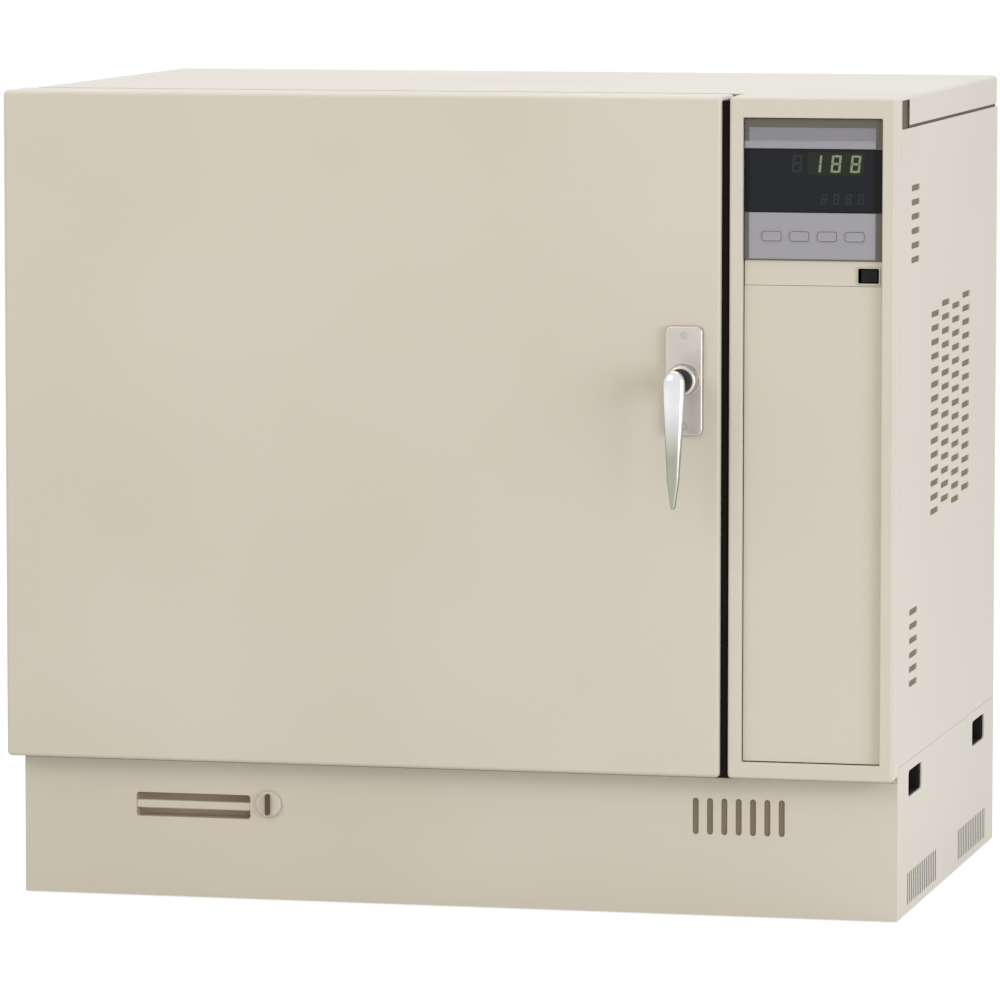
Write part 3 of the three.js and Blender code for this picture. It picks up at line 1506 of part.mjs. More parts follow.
// The door leaf drops its upper knuckle over the pin
function doorHingeLeaf(name, centreZ) {
  const low = centreZ + seatGap;
  const high = centreZ + leafHeight / 2;
  const leafOut = doorLeft - seatGap - leafThickness;
  const leaf = block(leafOut, doorLeft - seatGap, hingeAxisY - knuckleRadius - leafLength, hingeAxisY, low, high);
  const knuckle = rodZ(hingeX, hingeAxisY, knuckleRadius, low, high, 16);
  const pinHole = rodZ(
    hingeX, hingeAxisY, hingePinRadius + seatGap, low - overrun, high - knuckleRadius + seatGap, 12,
  );
  const besideDoor = block(
    doorLeft - seatGap, doorLeft + overrun + leafThickness, hingeAxisY - leafLength, doorSeatDepth + overrun,
    low - overrun, high + overrun,
  );
  return piece(name, cut(joined([leaf, knuckle]), [pinHole, besideDoor]), stainless);
}

// The assembly: what turns together shares a group
const handleReach = leverStand + leverTopThickness;
const rearReach = glandBodyLength + glandNutLength + seatGap;
const leftReach = hingeX - knuckleRadius;
const middleX = (leftReach + cabinetRight) / 2;
const middleY = (frontY - handleReach + backY + rearReach) / 2;
const upperHingeZ = ovenHeight - hingeFromEnd;
const lowerHingeZ = upperBottom + hingeFromEnd;

function cabinetGroup() {
  const group = new THREE.Group();
  const footLeft = cabinetLeft + footInset;
  const footRight = cabinetRight - footInset;
  group.add(
    basePan(),
    levellingFoot('foot_front_left', footLeft, footInset),
    levellingFoot('foot_front_right', footRight, footInset),
    levellingFoot('foot_rear_left', footLeft, backY - footInset),
    levellingFoot('foot_rear_right', footRight, backY - footInset),
    deckPlate(),
    plinthFrontCover(),
    plinthPullCup(),
    sidePanelLeft(),
    sidePanelRight(),
    sideStripRight(),
    topCover(),
    backPanel(),
    frontFrame(),
    columnFrame(),
    columnSeal(),
    compartmentWall(),
    controllerHousing(),
    displayWindow(),
    switchPlate(),
    rockerHousing(),
    blankPlate(),
    cordGland(),
    carryGrip('carry_grip_front_left', gripFrontY, cabinetLeft, 1),
    carryGrip('carry_grip_rear_left', gripRearY, cabinetLeft, 1),
    carryGrip('carry_grip_front_right', gripFrontY, cabinetRight, -1),
    carryGrip('carry_grip_rear_right', gripRearY, cabinetRight, -1),
    cabinetHingeLeaf('cabinet_hinge_leaf_upper', upperHingeZ),
    cabinetHingeLeaf('cabinet_hinge_leaf_lower', lowerHingeZ),
  );
  return group;
}

function chamberGroup() {
  const group = new THREE.Group();
  group.add(
    chamberWrap(),
    chamberRightWall(),
    chamberBackWall(),
    airBaffle(),
    insulationJacket(),
    shelfRail('shelf_rail_left', chamberLeft, 1),
    shelfRail('shelf_rail_right', chamberRight, -1),
    wireShelf('shelf_lower', shelfLevels[0]),
    wireShelf('shelf_upper', shelfLevels[1]),
    fanMotor(),
    heaterTube(),
    temperatureProbe(),
    powerUnit(),
  );
  return group;
}

function doorGroup() {
  const group = new THREE.Group();
  group.add(
    doorOuterShell(),
    doorInnerPanel(),
    doorInsulation(),
    doorGasket(),
    doorHingeLeaf('door_hinge_leaf_upper', upperHingeZ),
    doorHingeLeaf('door_hinge_leaf_lower', lowerHingeZ),
    handleBase(),
  );
  const lever = new THREE.Group();
  lever.add(handleLever(), latchCam());
  group.add(lever);
  return group;
}

function smallMoversGroup() {
  const group = new THREE.Group();
  for (let i = 0; i < keyCount; i += 1) {
    group.add(controllerKey(i));
  }
  const fan = new THREE.Group();
  fan.add(fanWheel(), fanShaft());
  group.add(rockerSwitch(), plinthCoverLock(), exhaustDamper(), fan);
  return group;
}

const oven = new THREE.Group();
oven.name = 'high_temperature_oven';
oven.position.set(-middleX, -middleY, 0);
oven.add(cabinetGroup(), chamberGroup(), doorGroup(), smallMoversGroup());

export default oven;
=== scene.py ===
# %% [markdown]
# # A high-temperature laboratory oven
#
# The oven is a painted sheet-metal cabinet on a plinth. A wide insulated door is hinged on its left, and
# a narrow column on its right holds the controls. Behind the door is a square chamber with two wire
# shelves and a fan. The engineering model gives every size and every moving body. Each cell below
# dresses one part of it with finer shapes and finishes, in metres, in the frame of that model.

# %% Load the frame
import json
import math

import bmesh
import bpy
from mathutils import Matrix, Vector


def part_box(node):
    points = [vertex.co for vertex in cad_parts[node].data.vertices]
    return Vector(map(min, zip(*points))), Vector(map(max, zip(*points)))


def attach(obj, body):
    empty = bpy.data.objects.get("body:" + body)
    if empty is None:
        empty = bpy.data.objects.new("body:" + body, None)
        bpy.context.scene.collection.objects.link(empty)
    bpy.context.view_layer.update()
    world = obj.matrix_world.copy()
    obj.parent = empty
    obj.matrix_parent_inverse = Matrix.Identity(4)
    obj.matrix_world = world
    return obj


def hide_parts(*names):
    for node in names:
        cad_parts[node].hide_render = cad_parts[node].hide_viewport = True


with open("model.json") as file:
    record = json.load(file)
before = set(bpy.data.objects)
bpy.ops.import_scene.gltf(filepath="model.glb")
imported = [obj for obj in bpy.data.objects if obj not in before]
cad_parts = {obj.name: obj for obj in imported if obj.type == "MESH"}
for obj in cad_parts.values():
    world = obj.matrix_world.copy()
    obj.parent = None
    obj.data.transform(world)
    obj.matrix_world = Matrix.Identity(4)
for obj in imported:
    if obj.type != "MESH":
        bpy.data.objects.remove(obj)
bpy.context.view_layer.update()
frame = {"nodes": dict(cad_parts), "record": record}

print("nodes", len(frame["nodes"]))

# %% [markdown]
# ## Small helpers
#
# Sizes are written in millimetres, because that is how such an oven is drawn, and `mm` turns them into
# metres. Colours are written as on a paint chart, in sRGB hex, and one function makes them linear, which
# is what the renderer works in.

# %% Units and colours
def mm(value):
    return value * 0.001


# The engineering drawing has its origin on the door's middle line. This moves its places into this frame.
ORIGIN_MM = Vector((4.5, -261.65, 0))


def linear(code, alpha=1.0):
    parts = [int(code[i:i + 2], 16) / 255 for i in (0, 2, 4)]
    return [c / 12.92 if c <= 0.04045 else ((c + 0.055) / 1.055) ** 2.4 for c in parts] + [alpha]


def corners(*nodes):
    """The lowest and highest corner of one or more engineering nodes, in millimetres."""
    boxes = [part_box(node) for node in nodes]
    low = Vector([min(b[0][i] for b in boxes) for i in range(3)]) * 1000
    high = Vector([max(b[1][i] for b in boxes) for i in range(3)]) * 1000
    return low, high


# %% [markdown]
# ## One way to add a node
#
# Every material and every Geometry Nodes tree below is built with the same small function. It makes a
# node, sets its options, and fills each input with either a value or a link from another node.

# %% Add a node
def add(tree, kind, inputs=None, **options):
    node = tree.nodes.new(kind)
    for name, value in options.items():
        setattr(node, name, value)
    for name, value in (inputs or {}).items():
        if isinstance(value, bpy.types.NodeSocket):
            tree.links.new(value, node.inputs[name])
        else:
            node.inputs[name].default_value = value
    return node


def new_material(name):
    material = bpy.data.materials.new(name)
    material.use_nodes = True
    material.node_tree.nodes.clear()
    return material, material.node_tree


def close_surface(tree, shader):
    add(tree, "ShaderNodeOutputMaterial", {"Surface": shader})


def object_pattern(tree, stretch=(1, 1, 1)):
    """Object coordinates, stretched so that a pattern can be longer one way than another."""
    where = add(tree, "ShaderNodeTexCoord")
    scaled = add(tree, "ShaderNodeMapping", {"Vector": where.outputs["Object"], "Scale": stretch})
    return scaled.outputs["Vector"]


# %% [markdown]
# ## Powder-coated steel
#
# The cabinet is mild steel sheet with a beige powder coat. The powder melts in an oven and flows, which
# leaves a faint orange-peel waviness a few millimetres across, and the colour drifts very slightly over a
# large panel. The coat is semi-gloss, so lights give broad soft reflections.

# %% Paint
PEEL_MM = 2.5
DRIFT_MM = 320


def mottled(name, shades, size_mm, detail, spread, bump, surface, stretch=(1, 1, 1), relief=None):
    """Two shades in patches of a real size.

    `spread` is where the shades sit on the ramp, `bump` is (strength, height in mm) and `surface` holds the
    shader's own values. The relief follows the patches, or a noise of its own when `relief` gives one as
    (size in mm, detail).
    """
    material, tree = new_material(name)
    where = object_pattern(tree, stretch)
    patches = add(tree, "ShaderNodeTexNoise", {"Vector": where, "Scale": 1000 / size_mm, "Detail": detail})
    ramp = add(tree, "ShaderNodeValToRGB", {"Fac": patches.outputs["Fac"]})
    for stop, place, code in zip(ramp.color_ramp.elements, spread, shades):
        stop.position, stop.color = place, linear(code)
    waves = patches
    if relief:
        waves = add(
            tree, "ShaderNodeTexNoise", {"Vector": where, "Scale": 1000 / relief[0], "Detail": relief[1]},
        )
    raised = add(tree, "ShaderNodeBump", {
        "Height": waves.outputs["Fac"], "Strength": bump[0], "Distance": mm(bump[1]),
    })
    shade = add(tree, "ShaderNodeBsdfPrincipled", {
        "Base Color": ramp.outputs["Color"], "Normal": raised.outputs["Normal"], **surface,
    })
    close_surface(tree, shade.outputs["BSDF"])
    return material


beige_coat = mottled(
    "powder-coated steel, beige", ("D1CAB9", "D5CEBE"), DRIFT_MM, 2, (0.35, 0.65), (0.06, 0.3),
    {"Roughness": 0.42, "IOR": 1.5}, relief=(PEEL_MM, 1),
)
print("paint", beige_coat.name)

# %% [markdown]
# ## Bare sheet metals
#
# The chamber and the fittings are stainless steel with a brushed grain, which is a very stretched noise
# that drives roughness and a little relief. The base, the deck and the fan are galvanised, and zinc
# freezes into flat crystals, so a Voronoi pattern gives each crystal its own brightness.

# %% Brushed and galvanised steel
GRAIN_MM = 0.6
GRAIN_LENGTH = 40
SPANGLE_MM = 9


def brushed_steel(name, colour, roughness, along):
    material, tree = new_material(name)
    stretch = [1 / GRAIN_LENGTH if axis == along else 1 for axis in "xyz"]
    where = object_pattern(tree, stretch)
    grain = add(tree, "ShaderNodeTexNoise", {"Vector": where, "Scale": 1000 / GRAIN_MM, "Detail": 3})
    rough = add(tree, "ShaderNodeMapRange", {
        "Value": grain.outputs["Fac"], "To Min": roughness - 0.08, "To Max": roughness + 0.1,
    })
    relief = add(
        tree, "ShaderNodeBump", {"Height": grain.outputs["Fac"], "Strength": 0.08, "Distance": mm(0.1)},
    )
    shade = add(tree, "ShaderNodeBsdfPrincipled", {
        "Base Color": linear(colour), "Metallic": 1.0, "Roughness": rough.outputs["Result"],
        "Normal": relief.outputs["Normal"],
    })
    close_surface(tree, shade.outputs["BSDF"])
    return material


def spangled_zinc(name, low, high):
    material, tree = new_material(name)
    where = object_pattern(tree)
    crystals = add(tree, "ShaderNodeTexVoronoi", {"Vector": where, "Scale": 1000 / SPANGLE_MM})
    tone = add(tree, "ShaderNodeSeparateColor", {"Color": crystals.outputs["Color"]})
    ramp = add(tree, "ShaderNodeValToRGB", {"Fac": tone.outputs["Red"]})
    ramp.color_ramp.elements[0].color = linear(low)
    ramp.color_ramp.elements[1].color = linear(high)
    rough = add(tree, "ShaderNodeMapRange", {"Value": tone.outputs["Green"], "To Min": 0.36, "To Max": 0.5})
    shade = add(tree, "ShaderNodeBsdfPrincipled", {
        "Base Color": ramp.outputs["Color"], "Metallic": 1.0, "Roughness": rough.outputs["Result"],
    })
    close_surface(tree, shade.outputs["BSDF"])
    return material


stainless_sheet = brushed_steel("brushed stainless steel, upright grain", "BEBDBB", 0.34, "z")
stainless_across = brushed_steel("brushed stainless steel, level grain", "BEBDBB", 0.34, "x")
satin_steel = brushed_steel("brushed steel bar", "A8A8A6", 0.4, "z")
zinc_sheet = spangled_zinc("galvanised steel", "9A9D9E", "B4B6B6")
print("metals", stainless_sheet.name, zinc_sheet.name)

# %% [markdown]
# ## Castings and plated parts
#
# The lever handle is die-cast zinc with bright chrome over it: nearly a mirror, but slightly wavy
# because a casting is polished by hand. The motor and the heat sink are aluminium castings, left as they
# come out of the die, so they are dull with fine pits. The heater's sheath has been red hot and is
# tinted brown and blue.

# %% Cast and plated metals
CAST_PIT_MM = 1.2
POLISH_WAVE_MM = 18
TINT_MM = 60


def textured_metal(name, low, high, roughness, size_mm, strength):
    return mottled(
        name, (low, high), size_mm, 3, (0.3, 0.7), (strength, 0.3),
        {"Metallic": 1.0, "Roughness": roughness},
    )


cast_aluminium = textured_metal("cast aluminium", "8F9193", "A3A5A6", 0.5, CAST_PIT_MM, 0.4)
satin_chrome = textured_metal("satin chrome-plated zinc", "C2BCB5", "CBC5BE", 0.38, POLISH_WAVE_MM, 0.1)
heater_sheath = textured_metal("heat-tinted heater sheath", "4C4644", "6E5F55", 0.45, TINT_MM, 0.05)
zinc_screw = textured_metal("zinc-plated screw", "A9A9A4", "BDBDB8", 0.35, 6, 0.05)


def chrome_with_painted_reflection(name, high_mm, low_mm):
    """Bright chrome, mirror-like above high_mm, and greyer and duller below low_mm as a painted reflection.
    """
    material, tree = new_material(name)
    where = object_pattern(tree)
    height = add(tree, "ShaderNodeSeparateXYZ", {"Vector": where}).outputs["Z"]
    reflection_fade = add(
        tree, "ShaderNodeMapRange", {"Value": height, "From Min": mm(high_mm), "From Max": mm(low_mm)},
    )
    ramp = add(tree, "ShaderNodeValToRGB", {"Fac": reflection_fade.outputs["Result"]})
    ramp.color_ramp.elements[0].color = linear("E3E4E7")
    ramp.color_ramp.elements[1].color = linear("A2A498")
    dull = add(tree, "ShaderNodeMapRange", {"Value": reflection_fade.outputs["Result"], "To Min": 0.1, "To Max": 0.24})
    wave = add(tree, "ShaderNodeTexNoise", {"Vector": where, "Scale": 1000 / POLISH_WAVE_MM, "Detail": 3})
    relief = add(
        tree, "ShaderNodeBump", {"Height": wave.outputs["Fac"], "Strength": 0.15, "Distance": mm(0.3)},
    )
    shade = add(tree, "ShaderNodeBsdfPrincipled", {
        "Base Color": ramp.outputs["Color"], "Metallic": 1.0, "Roughness": dull.outputs["Result"],
        "Normal": relief.outputs["Normal"],
    })
    close_surface(tree, shade.outputs["BSDF"])
    return material


# The lever's chrome turns greyer and duller towards its tip: a painted reflection of darker surroundings.
bright_chrome = chrome_with_painted_reflection("chrome-plated zinc", 505, 455)
print("castings", cast_aluminium.name)

# %% [markdown]
# ## Plastics
#
# The grips, the rocker and the feet are injection-moulded, with the fine spark-eroded texture of the
# mould. The controller's bezel is grey ABS with the same texture. Its window is smoked acrylic: dark,
# glossy and slightly blue.

# %% Moulded plastics
MOULD_GRAIN_MM = 0.8


def moulded(name, colour, roughness, grain_mm=MOULD_GRAIN_MM, strength=0.25, sheen=0.5):
    material, tree = new_material(name)
    where = object_pattern(tree)
    grain = add(tree, "ShaderNodeTexNoise", {"Vector": where, "Scale": 1000 / grain_mm, "Detail": 2})
    relief = add(
        tree, "ShaderNodeBump", {"Height": grain.outputs["Fac"], "Strength": strength, "Distance": mm(0.1)},
    )
    shade = add(tree, "ShaderNodeBsdfPrincipled", {
        "Base Color": linear(colour), "Roughness": roughness, "IOR": 1.49, "Specular IOR Level": sheen,
        "Normal": relief.outputs["Normal"],
    })
    close_surface(tree, shade.outputs["BSDF"])
    return material


black_abs = moulded("ABS, black", "161513", 0.6, sheen=0.25)
black_gloss = moulded("polycarbonate, black", "0B0A0A", 0.4, 4, 0.05, sheen=0.2)
grey_abs = moulded("ABS, grey", "9C9BA0", 0.55)
# Painted shade: the controller's header is a darker grey, for the shadow under the window's top lip.
header_shade_abs = moulded("painted shade, dark grey", "85848A", 0.55)
key_abs = moulded("ABS, ledge grey", "97979D", 0.5)
# Painted shade: a dark brown for narrow seams and slots that lie in shade.
shade_brown_abs = moulded("painted shade, brown", "5E503E", 0.6, sheen=0.25)
# Painted shade: the pull's cup is darker and browner than the paint, for the shade in its recess.
cup_shade_abs = moulded("painted shade, light brown", "CABBA4", 0.6, sheen=0.3)
foot_rubber = moulded("nitrile rubber", "1A1919", 0.75, 1.5)
# The seal's near-black is also painted shade for the deep gap beside the door.
seal_and_gap_shade_rubber = moulded("EPDM rubber", "120B07", 0.85, 1.5, sheen=0.15)
smoked_acrylic = moulded("smoked acrylic", "17191F", 0.3, 40, 0.02, sheen=0.2)
# Painted shade: a dark grey-brown frame for the shadow of the window's lips on the controller.
lip_shade_abs = moulded("painted shade, grey-brown", "67635A", 0.6, sheen=0.3)
rocker_abs = moulded("ABS, beige", "CBC4B4", 0.55)
digit_filter = moulded("green display filter", "20261C", 0.35, 40, 0.02, sheen=0.2)
unlit_segment = moulded("unlit display segment", "2A2F28", 0.4, 3, 0.02, sheen=0.2)
print("plastics", black_abs.name, grey_abs.name)


def glowing(name, colour, strength):
    """A lit segment: its light varies a little, in patches about 4 mm across."""
    material, tree = new_material(name)
    spread = add(
        tree, "ShaderNodeTexNoise", {"Vector": object_pattern(tree), "Scale": 1000 / 4, "Detail": 0},
    )
    power = add(tree, "ShaderNodeMapRange", {
        "Value": spread.outputs["Fac"], "To Min": strength * 0.85, "To Max": strength * 1.15,
    })
    shade = add(tree, "ShaderNodeBsdfPrincipled", {
        "Base Color": linear("2A2E24"), "Roughness": 0.4, "Emission Color": linear(colour),
        "Emission Strength": power.outputs["Result"],
    })
    close_surface(tree, shade.outputs["BSDF"])
    return material


lit_green = glowing("lit display segment", "A9B98A", 0.45)

# %% [markdown]
# ## Fibres
#
# Mineral wool is a mat of short yellow-grey fibres. The door's gasket is a rope braided from glass
# fibre, so two diagonal waves cross over it and raise the strands.

# %% Wool and rope
FIBRE_MM = 3
STRAND_MM = 3.5


def fibre_mat(name, low, high, size_mm):
    return mottled(
        name, (low, high), size_mm, 6, (0.35, 0.65), (0.7, 1), {"Roughness": 0.95}, stretch=(1, 1, 3),
    )


mineral_wool = fibre_mat("mineral wool", "B9AC80", "D8CDA6", FIBRE_MM)
glass_rope = fibre_mat("braided glass fibre", "A9A497", "C9C4B6", STRAND_MM)
# Painted shade: a brown sheet that gives the slots the colour of the shaded inside.
slot_shade_screen = fibre_mat("painted shade, slot screen", "7E725E", "93866F", 2)
# Painted shade: a dark grey for the shaded space behind the base's slots.
slot_shade_cloth = fibre_mat("painted shade, slot pad", "36383B", "4C4F52", 2)
print("fibres", mineral_wool.name)

# %% [markdown]
# ## Finishes for the engineering nodes
#
# Every node first gets the finish of its material slot, so the shapes can be judged in their own
# materials while the pieces are made. The cells after this one then put finer pieces in the place of the
# nodes, and at the end none is left as it came.

# %% Dress every node
SLOT_FINISH = {
    "paint": beige_coat,
    "galvanised": zinc_sheet,
    "stainless": stainless_sheet,
    "chrome": bright_chrome,
    "black_plastic": black_abs,
    "grey_plastic": grey_abs,
    "display": smoked_acrylic,
    "mineral_wool": mineral_wool,
    "glass_rope": glass_rope,
    "cast_aluminium": cast_aluminium,
    "heater_steel": heater_sheath,
}
NODE_SLOT = {row["node"]: row["material_slot"] for row in frame["record"]["subparts"]}
for node_name, node_object in frame["nodes"].items():
    node_object.data.materials.clear()
    node_object.data.materials.append(SLOT_FINISH[NODE_SLOT[node_name]])
print("dressed", len(NODE_SLOT))

# %% [markdown]
# ## Drawing shapes
#
# A shape is a bmesh drawn in millimetres. Rings of points are lofted into skins, profiles are turned
# like work in a lathe, and a section is swept along a path like rope through a die. `finish_piece` welds
# the seams, turns every face outwards, rounds the sharp edges a little as paint or polish would, and
# hands the piece to the body that carries the node it stands for. Flat faces keep flat shading because
# each corner's normal is weighted by the area of the faces round it.

# %% Rings, lofts and lathe work
NODE_BODY = {
    node: body for body, nodes in frame["record"]["behaviour"]["bodies"].items() for node in nodes
}


def rect_ring(left, right, low, high, radius=0.05, steps=4):
    spots = [
        (right - radius, low + radius, -90), (right - radius, high - radius, 0),
        (left + radius, high - radius, 90), (left + radius, low + radius, 180),
    ]
    ring = []
    for u, v, start in spots:
        for k in range(steps + 1):
            angle = math.radians(start + 90 * k / steps)
            ring.append((u + radius * math.cos(angle), v + radius * math.sin(angle)))
    return ring


def round_ring(u, v, radius, sides, turn=0.0):
    angles = [turn + 2 * math.pi * k / sides for k in range(sides)]
    return [(u + radius * math.cos(a), v + radius * math.sin(a)) for a in angles]


PLANE = {"x": (1, 2), "y": (0, 2), "z": (0, 1)}


def standing(axis, u, v, at):
    """The point (u, v) of a drawing that lies across an axis, at that place on the axis."""
    return Vector({"x": (at, u, v), "y": (u, at, v), "z": (u, v, at)}[axis])


def across(axis, ring, at):
    return [standing(axis, u, v, at) for u, v in ring]


def box_rings(axis, low, high, rows, corner, least=None, steps=4):
    """A box's outline across an axis, moved inwards, once for each (inset, place) row.

    The corner's radius shrinks with the inset down to `least`, or stays the same when that isn't given.
    """
    u, v = PLANE[axis]
    return [
        across(axis, rect_ring(
            low[u] + inset, high[u] - inset, low[v] + inset, high[v] - inset,
            corner if least is None else max(corner - inset, least), steps,
        ), at)
        for inset, at in rows
    ]


def around(centre, wide, tall):
    """The corners of a box of that width and height round a centre."""
    x, y, z = centre
    return (x - wide / 2, y - wide / 2, z - tall / 2), (x + wide / 2, y + wide / 2, z + tall / 2)


def loft(rings, wrap=False, onto=None):
    """A skin through rings of equal length, on a new shape or onto one that is given.

    It is capped at both ends, or joined into a loop if it wraps.
    """
    shape = bmesh.new() if onto is None else onto
    rows = [[shape.verts.new(point) for point in ring] for ring in rings]
    pairs = list(zip(rows, rows[1:]))
    if wrap:
        pairs.append((rows[-1], rows[0]))
    else:
        shape.faces.new(rows[0])
        shape.faces.new(rows[-1])
    for one, two in pairs:
        for i in range(len(one)):
            j = (i + 1) % len(one)
            shape.faces.new((one[i], one[j], two[j], two[i]))
    return shape


def turned(axis, centre, profile, sides=32, onto=None):
    """A profile of (radius, height) pairs turned about an axis through a centre. Six sides make a nut."""
    u, v = (centre[i] for i in PLANE[axis])
    at = centre["xyz".index(axis)]
    rings = [across(axis, round_ring(u, v, radius, sides), at + height) for radius, height in profile]
    return loft(rings, onto=onto)


def block(low, high, onto=None):
    shape = bmesh.new() if onto is None else onto
    low, high = Vector(low), Vector(high)
    size = high - low
    place = Matrix.Translation((low + high) / 2) @ Matrix.Diagonal((size.x, size.y, size.z, 1))
    bmesh.ops.create_cube(shape, size=1, matrix=place)
    return shape


def sweep(path, ups, section, closed=False, onto=None):
    """A section along a path. At point k, section(k) gives its (along side, along up) pairs."""
    rings = []
    count = len(path)
    for k, (point, up) in enumerate(zip(path, ups)):
        if closed:
            tangent = path[(k + 1) % count] - path[k - 1]
        else:
            tangent = path[min(k + 1, count - 1)] - path[max(k - 1, 0)]
        side = tangent.cross(up).normalized()
        above = side.cross(tangent).normalized()
        rings.append([point + side * a + above * b for a, b in section(k)])
    return loft(rings, wrap=closed, onto=onto)


def evaluated_mesh(obj):
    """The object's mesh with its modifiers applied."""
    graph = bpy.context.evaluated_depsgraph_get()
    return bpy.data.meshes.new_from_object(
        obj.evaluated_get(graph), preserve_all_data_layers=True, depsgraph=graph,
    )


def loose_object(name, shape):
    mesh = bpy.data.meshes.new(name)
    shape.to_mesh(mesh)
    shape.free()
    obj = bpy.data.objects.new(name, mesh)
    bpy.context.scene.collection.objects.link(obj)
    return obj


def shape_of(obj, *helpers):
    """An object's evaluated mesh as a new shape. The object and its helpers are then taken away."""
    shape = bmesh.new()
    shape.from_mesh(evaluated_mesh(obj))
    for thing in (obj, *helpers):
        bpy.data.objects.remove(thing)
    return shape


def carve(shape, *cuts):
    """What is left of a closed shape when others, or blocks given by two corners, are cut out of it."""
    obj = loose_object("stock", shape)
    tools = []
    for cut in cuts:
        solid = cut if isinstance(cut, bmesh.types.BMesh) else block(*cut)
        tools.append(loose_object("cutter", solid))
        modifier = obj.modifiers.new("cut", "BOOLEAN")
        modifier.operation, modifier.solver, modifier.object = "DIFFERENCE", "EXACT", tools[-1]
    return shape_of(obj, *tools)


def finish_piece(name, shape, finish, nodes=(), like=None, soften=0.0, steps=2, sharp=30):
    """Welds, rounds and places a shape drawn in millimetres, as the piece that stands for those nodes."""
    like = like or nodes[0]
    bmesh.ops.remove_doubles(shape, verts=shape.verts, dist=0.002)
    bmesh.ops.recalc_face_normals(shape, faces=shape.faces)
    if soften:
        edges = [
            edge for edge in shape.edges
            if len(edge.link_faces) == 2 and edge.calc_face_angle() > math.radians(sharp)
        ]
        bmesh.ops.bevel(
            shape, geom=edges, offset=soften, segments=steps,
            profile=0.5, affect="EDGES", clamp_overlap=True,
        )
    bmesh.ops.scale(shape, vec=(0.001, 0.001, 0.001), verts=shape.verts)
    obj = loose_object(name, shape)
    obj.data.materials.append(finish)
    obj.data.shade_smooth()
    obj.data.set_sharp_from_angle(angle=math.radians(50))
    weights = obj.modifiers.new("weights", "WEIGHTED_NORMAL")
    weights.keep_sharp = True
    settled = evaluated_mesh(obj)
    obj.modifiers.clear()
    obj.data = settled
    if nodes:
        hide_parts(*nodes)
    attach(obj, NODE_BODY[like])
    return obj


def refined(node, finish, soften=0.35, steps=2):
    """The node's own shape with its flat faces made whole and its edges rounded."""
    shape = bmesh.new()
    shape.from_mesh(frame["nodes"][node].data)
    bmesh.ops.scale(shape, vec=(1000, 1000, 1000), verts=shape.verts)
    bmesh.ops.remove_doubles(shape, verts=shape.verts, dist=0.002)
    bmesh.ops.dissolve_limit(
        shape, angle_limit=math.radians(0.5), verts=shape.verts,
        edges=shape.edges, use_dissolve_boundaries=False,
    )
    return finish_piece("fine_" + node, shape, finish, [node], soften=soften, steps=steps)


print("helpers ready for", len(NODE_BODY), "nodes")

# %% [markdown]
# ## Punched sheets
#
# A turret punch makes the vents: the same tool strikes the sheet again and again on a grid. One Geometry
# Nodes tree does the same. It sets points on a grid, gives each a rounded outline, and adds those to the
# outline of the sheet. The second tree fills the outlines with flat faces, leaving the holes open, and
# gives the sheet its thickness. Stacking the first tree on itself gives several fields of different
# slots.

# %% Trees for punched sheets
def geometry_tree(name, sockets):
    tree = bpy.data.node_groups.new(name, "GeometryNodeTree")
    tree.interface.new_socket("Geometry", in_out="INPUT", socket_type="NodeSocketGeometry")
    for label, kind in sockets:
        tree.interface.new_socket(label, in_out="INPUT", socket_type="NodeSocket" + kind)
    tree.interface.new_socket("Geometry", in_out="OUTPUT", socket_type="NodeSocketGeometry")
    return tree, tree.nodes.new("NodeGroupInput").outputs


def end_tree(tree, geometry, finish):
    """Each tree that makes a whole piece ends in real geometry with its finish set, as the export needs."""
    plain = add(tree, "GeometryNodeRealizeInstances", {"Geometry": geometry}).outputs[0]
    dressed = add(tree, "GeometryNodeSetMaterial", {"Geometry": plain, "Material": finish}).outputs[0]
    add(tree, "NodeGroupOutput", {"Geometry": dressed})
    return tree


def run_tree(obj, tree, values):
    modifier = obj.modifiers.new(tree.name, "NODES")
    modifier.node_group = tree
    for item in tree.interface.items_tree:
        if item.in_out == "INPUT" and item.name in values:
            modifier[item.identifier] = values[item.name]


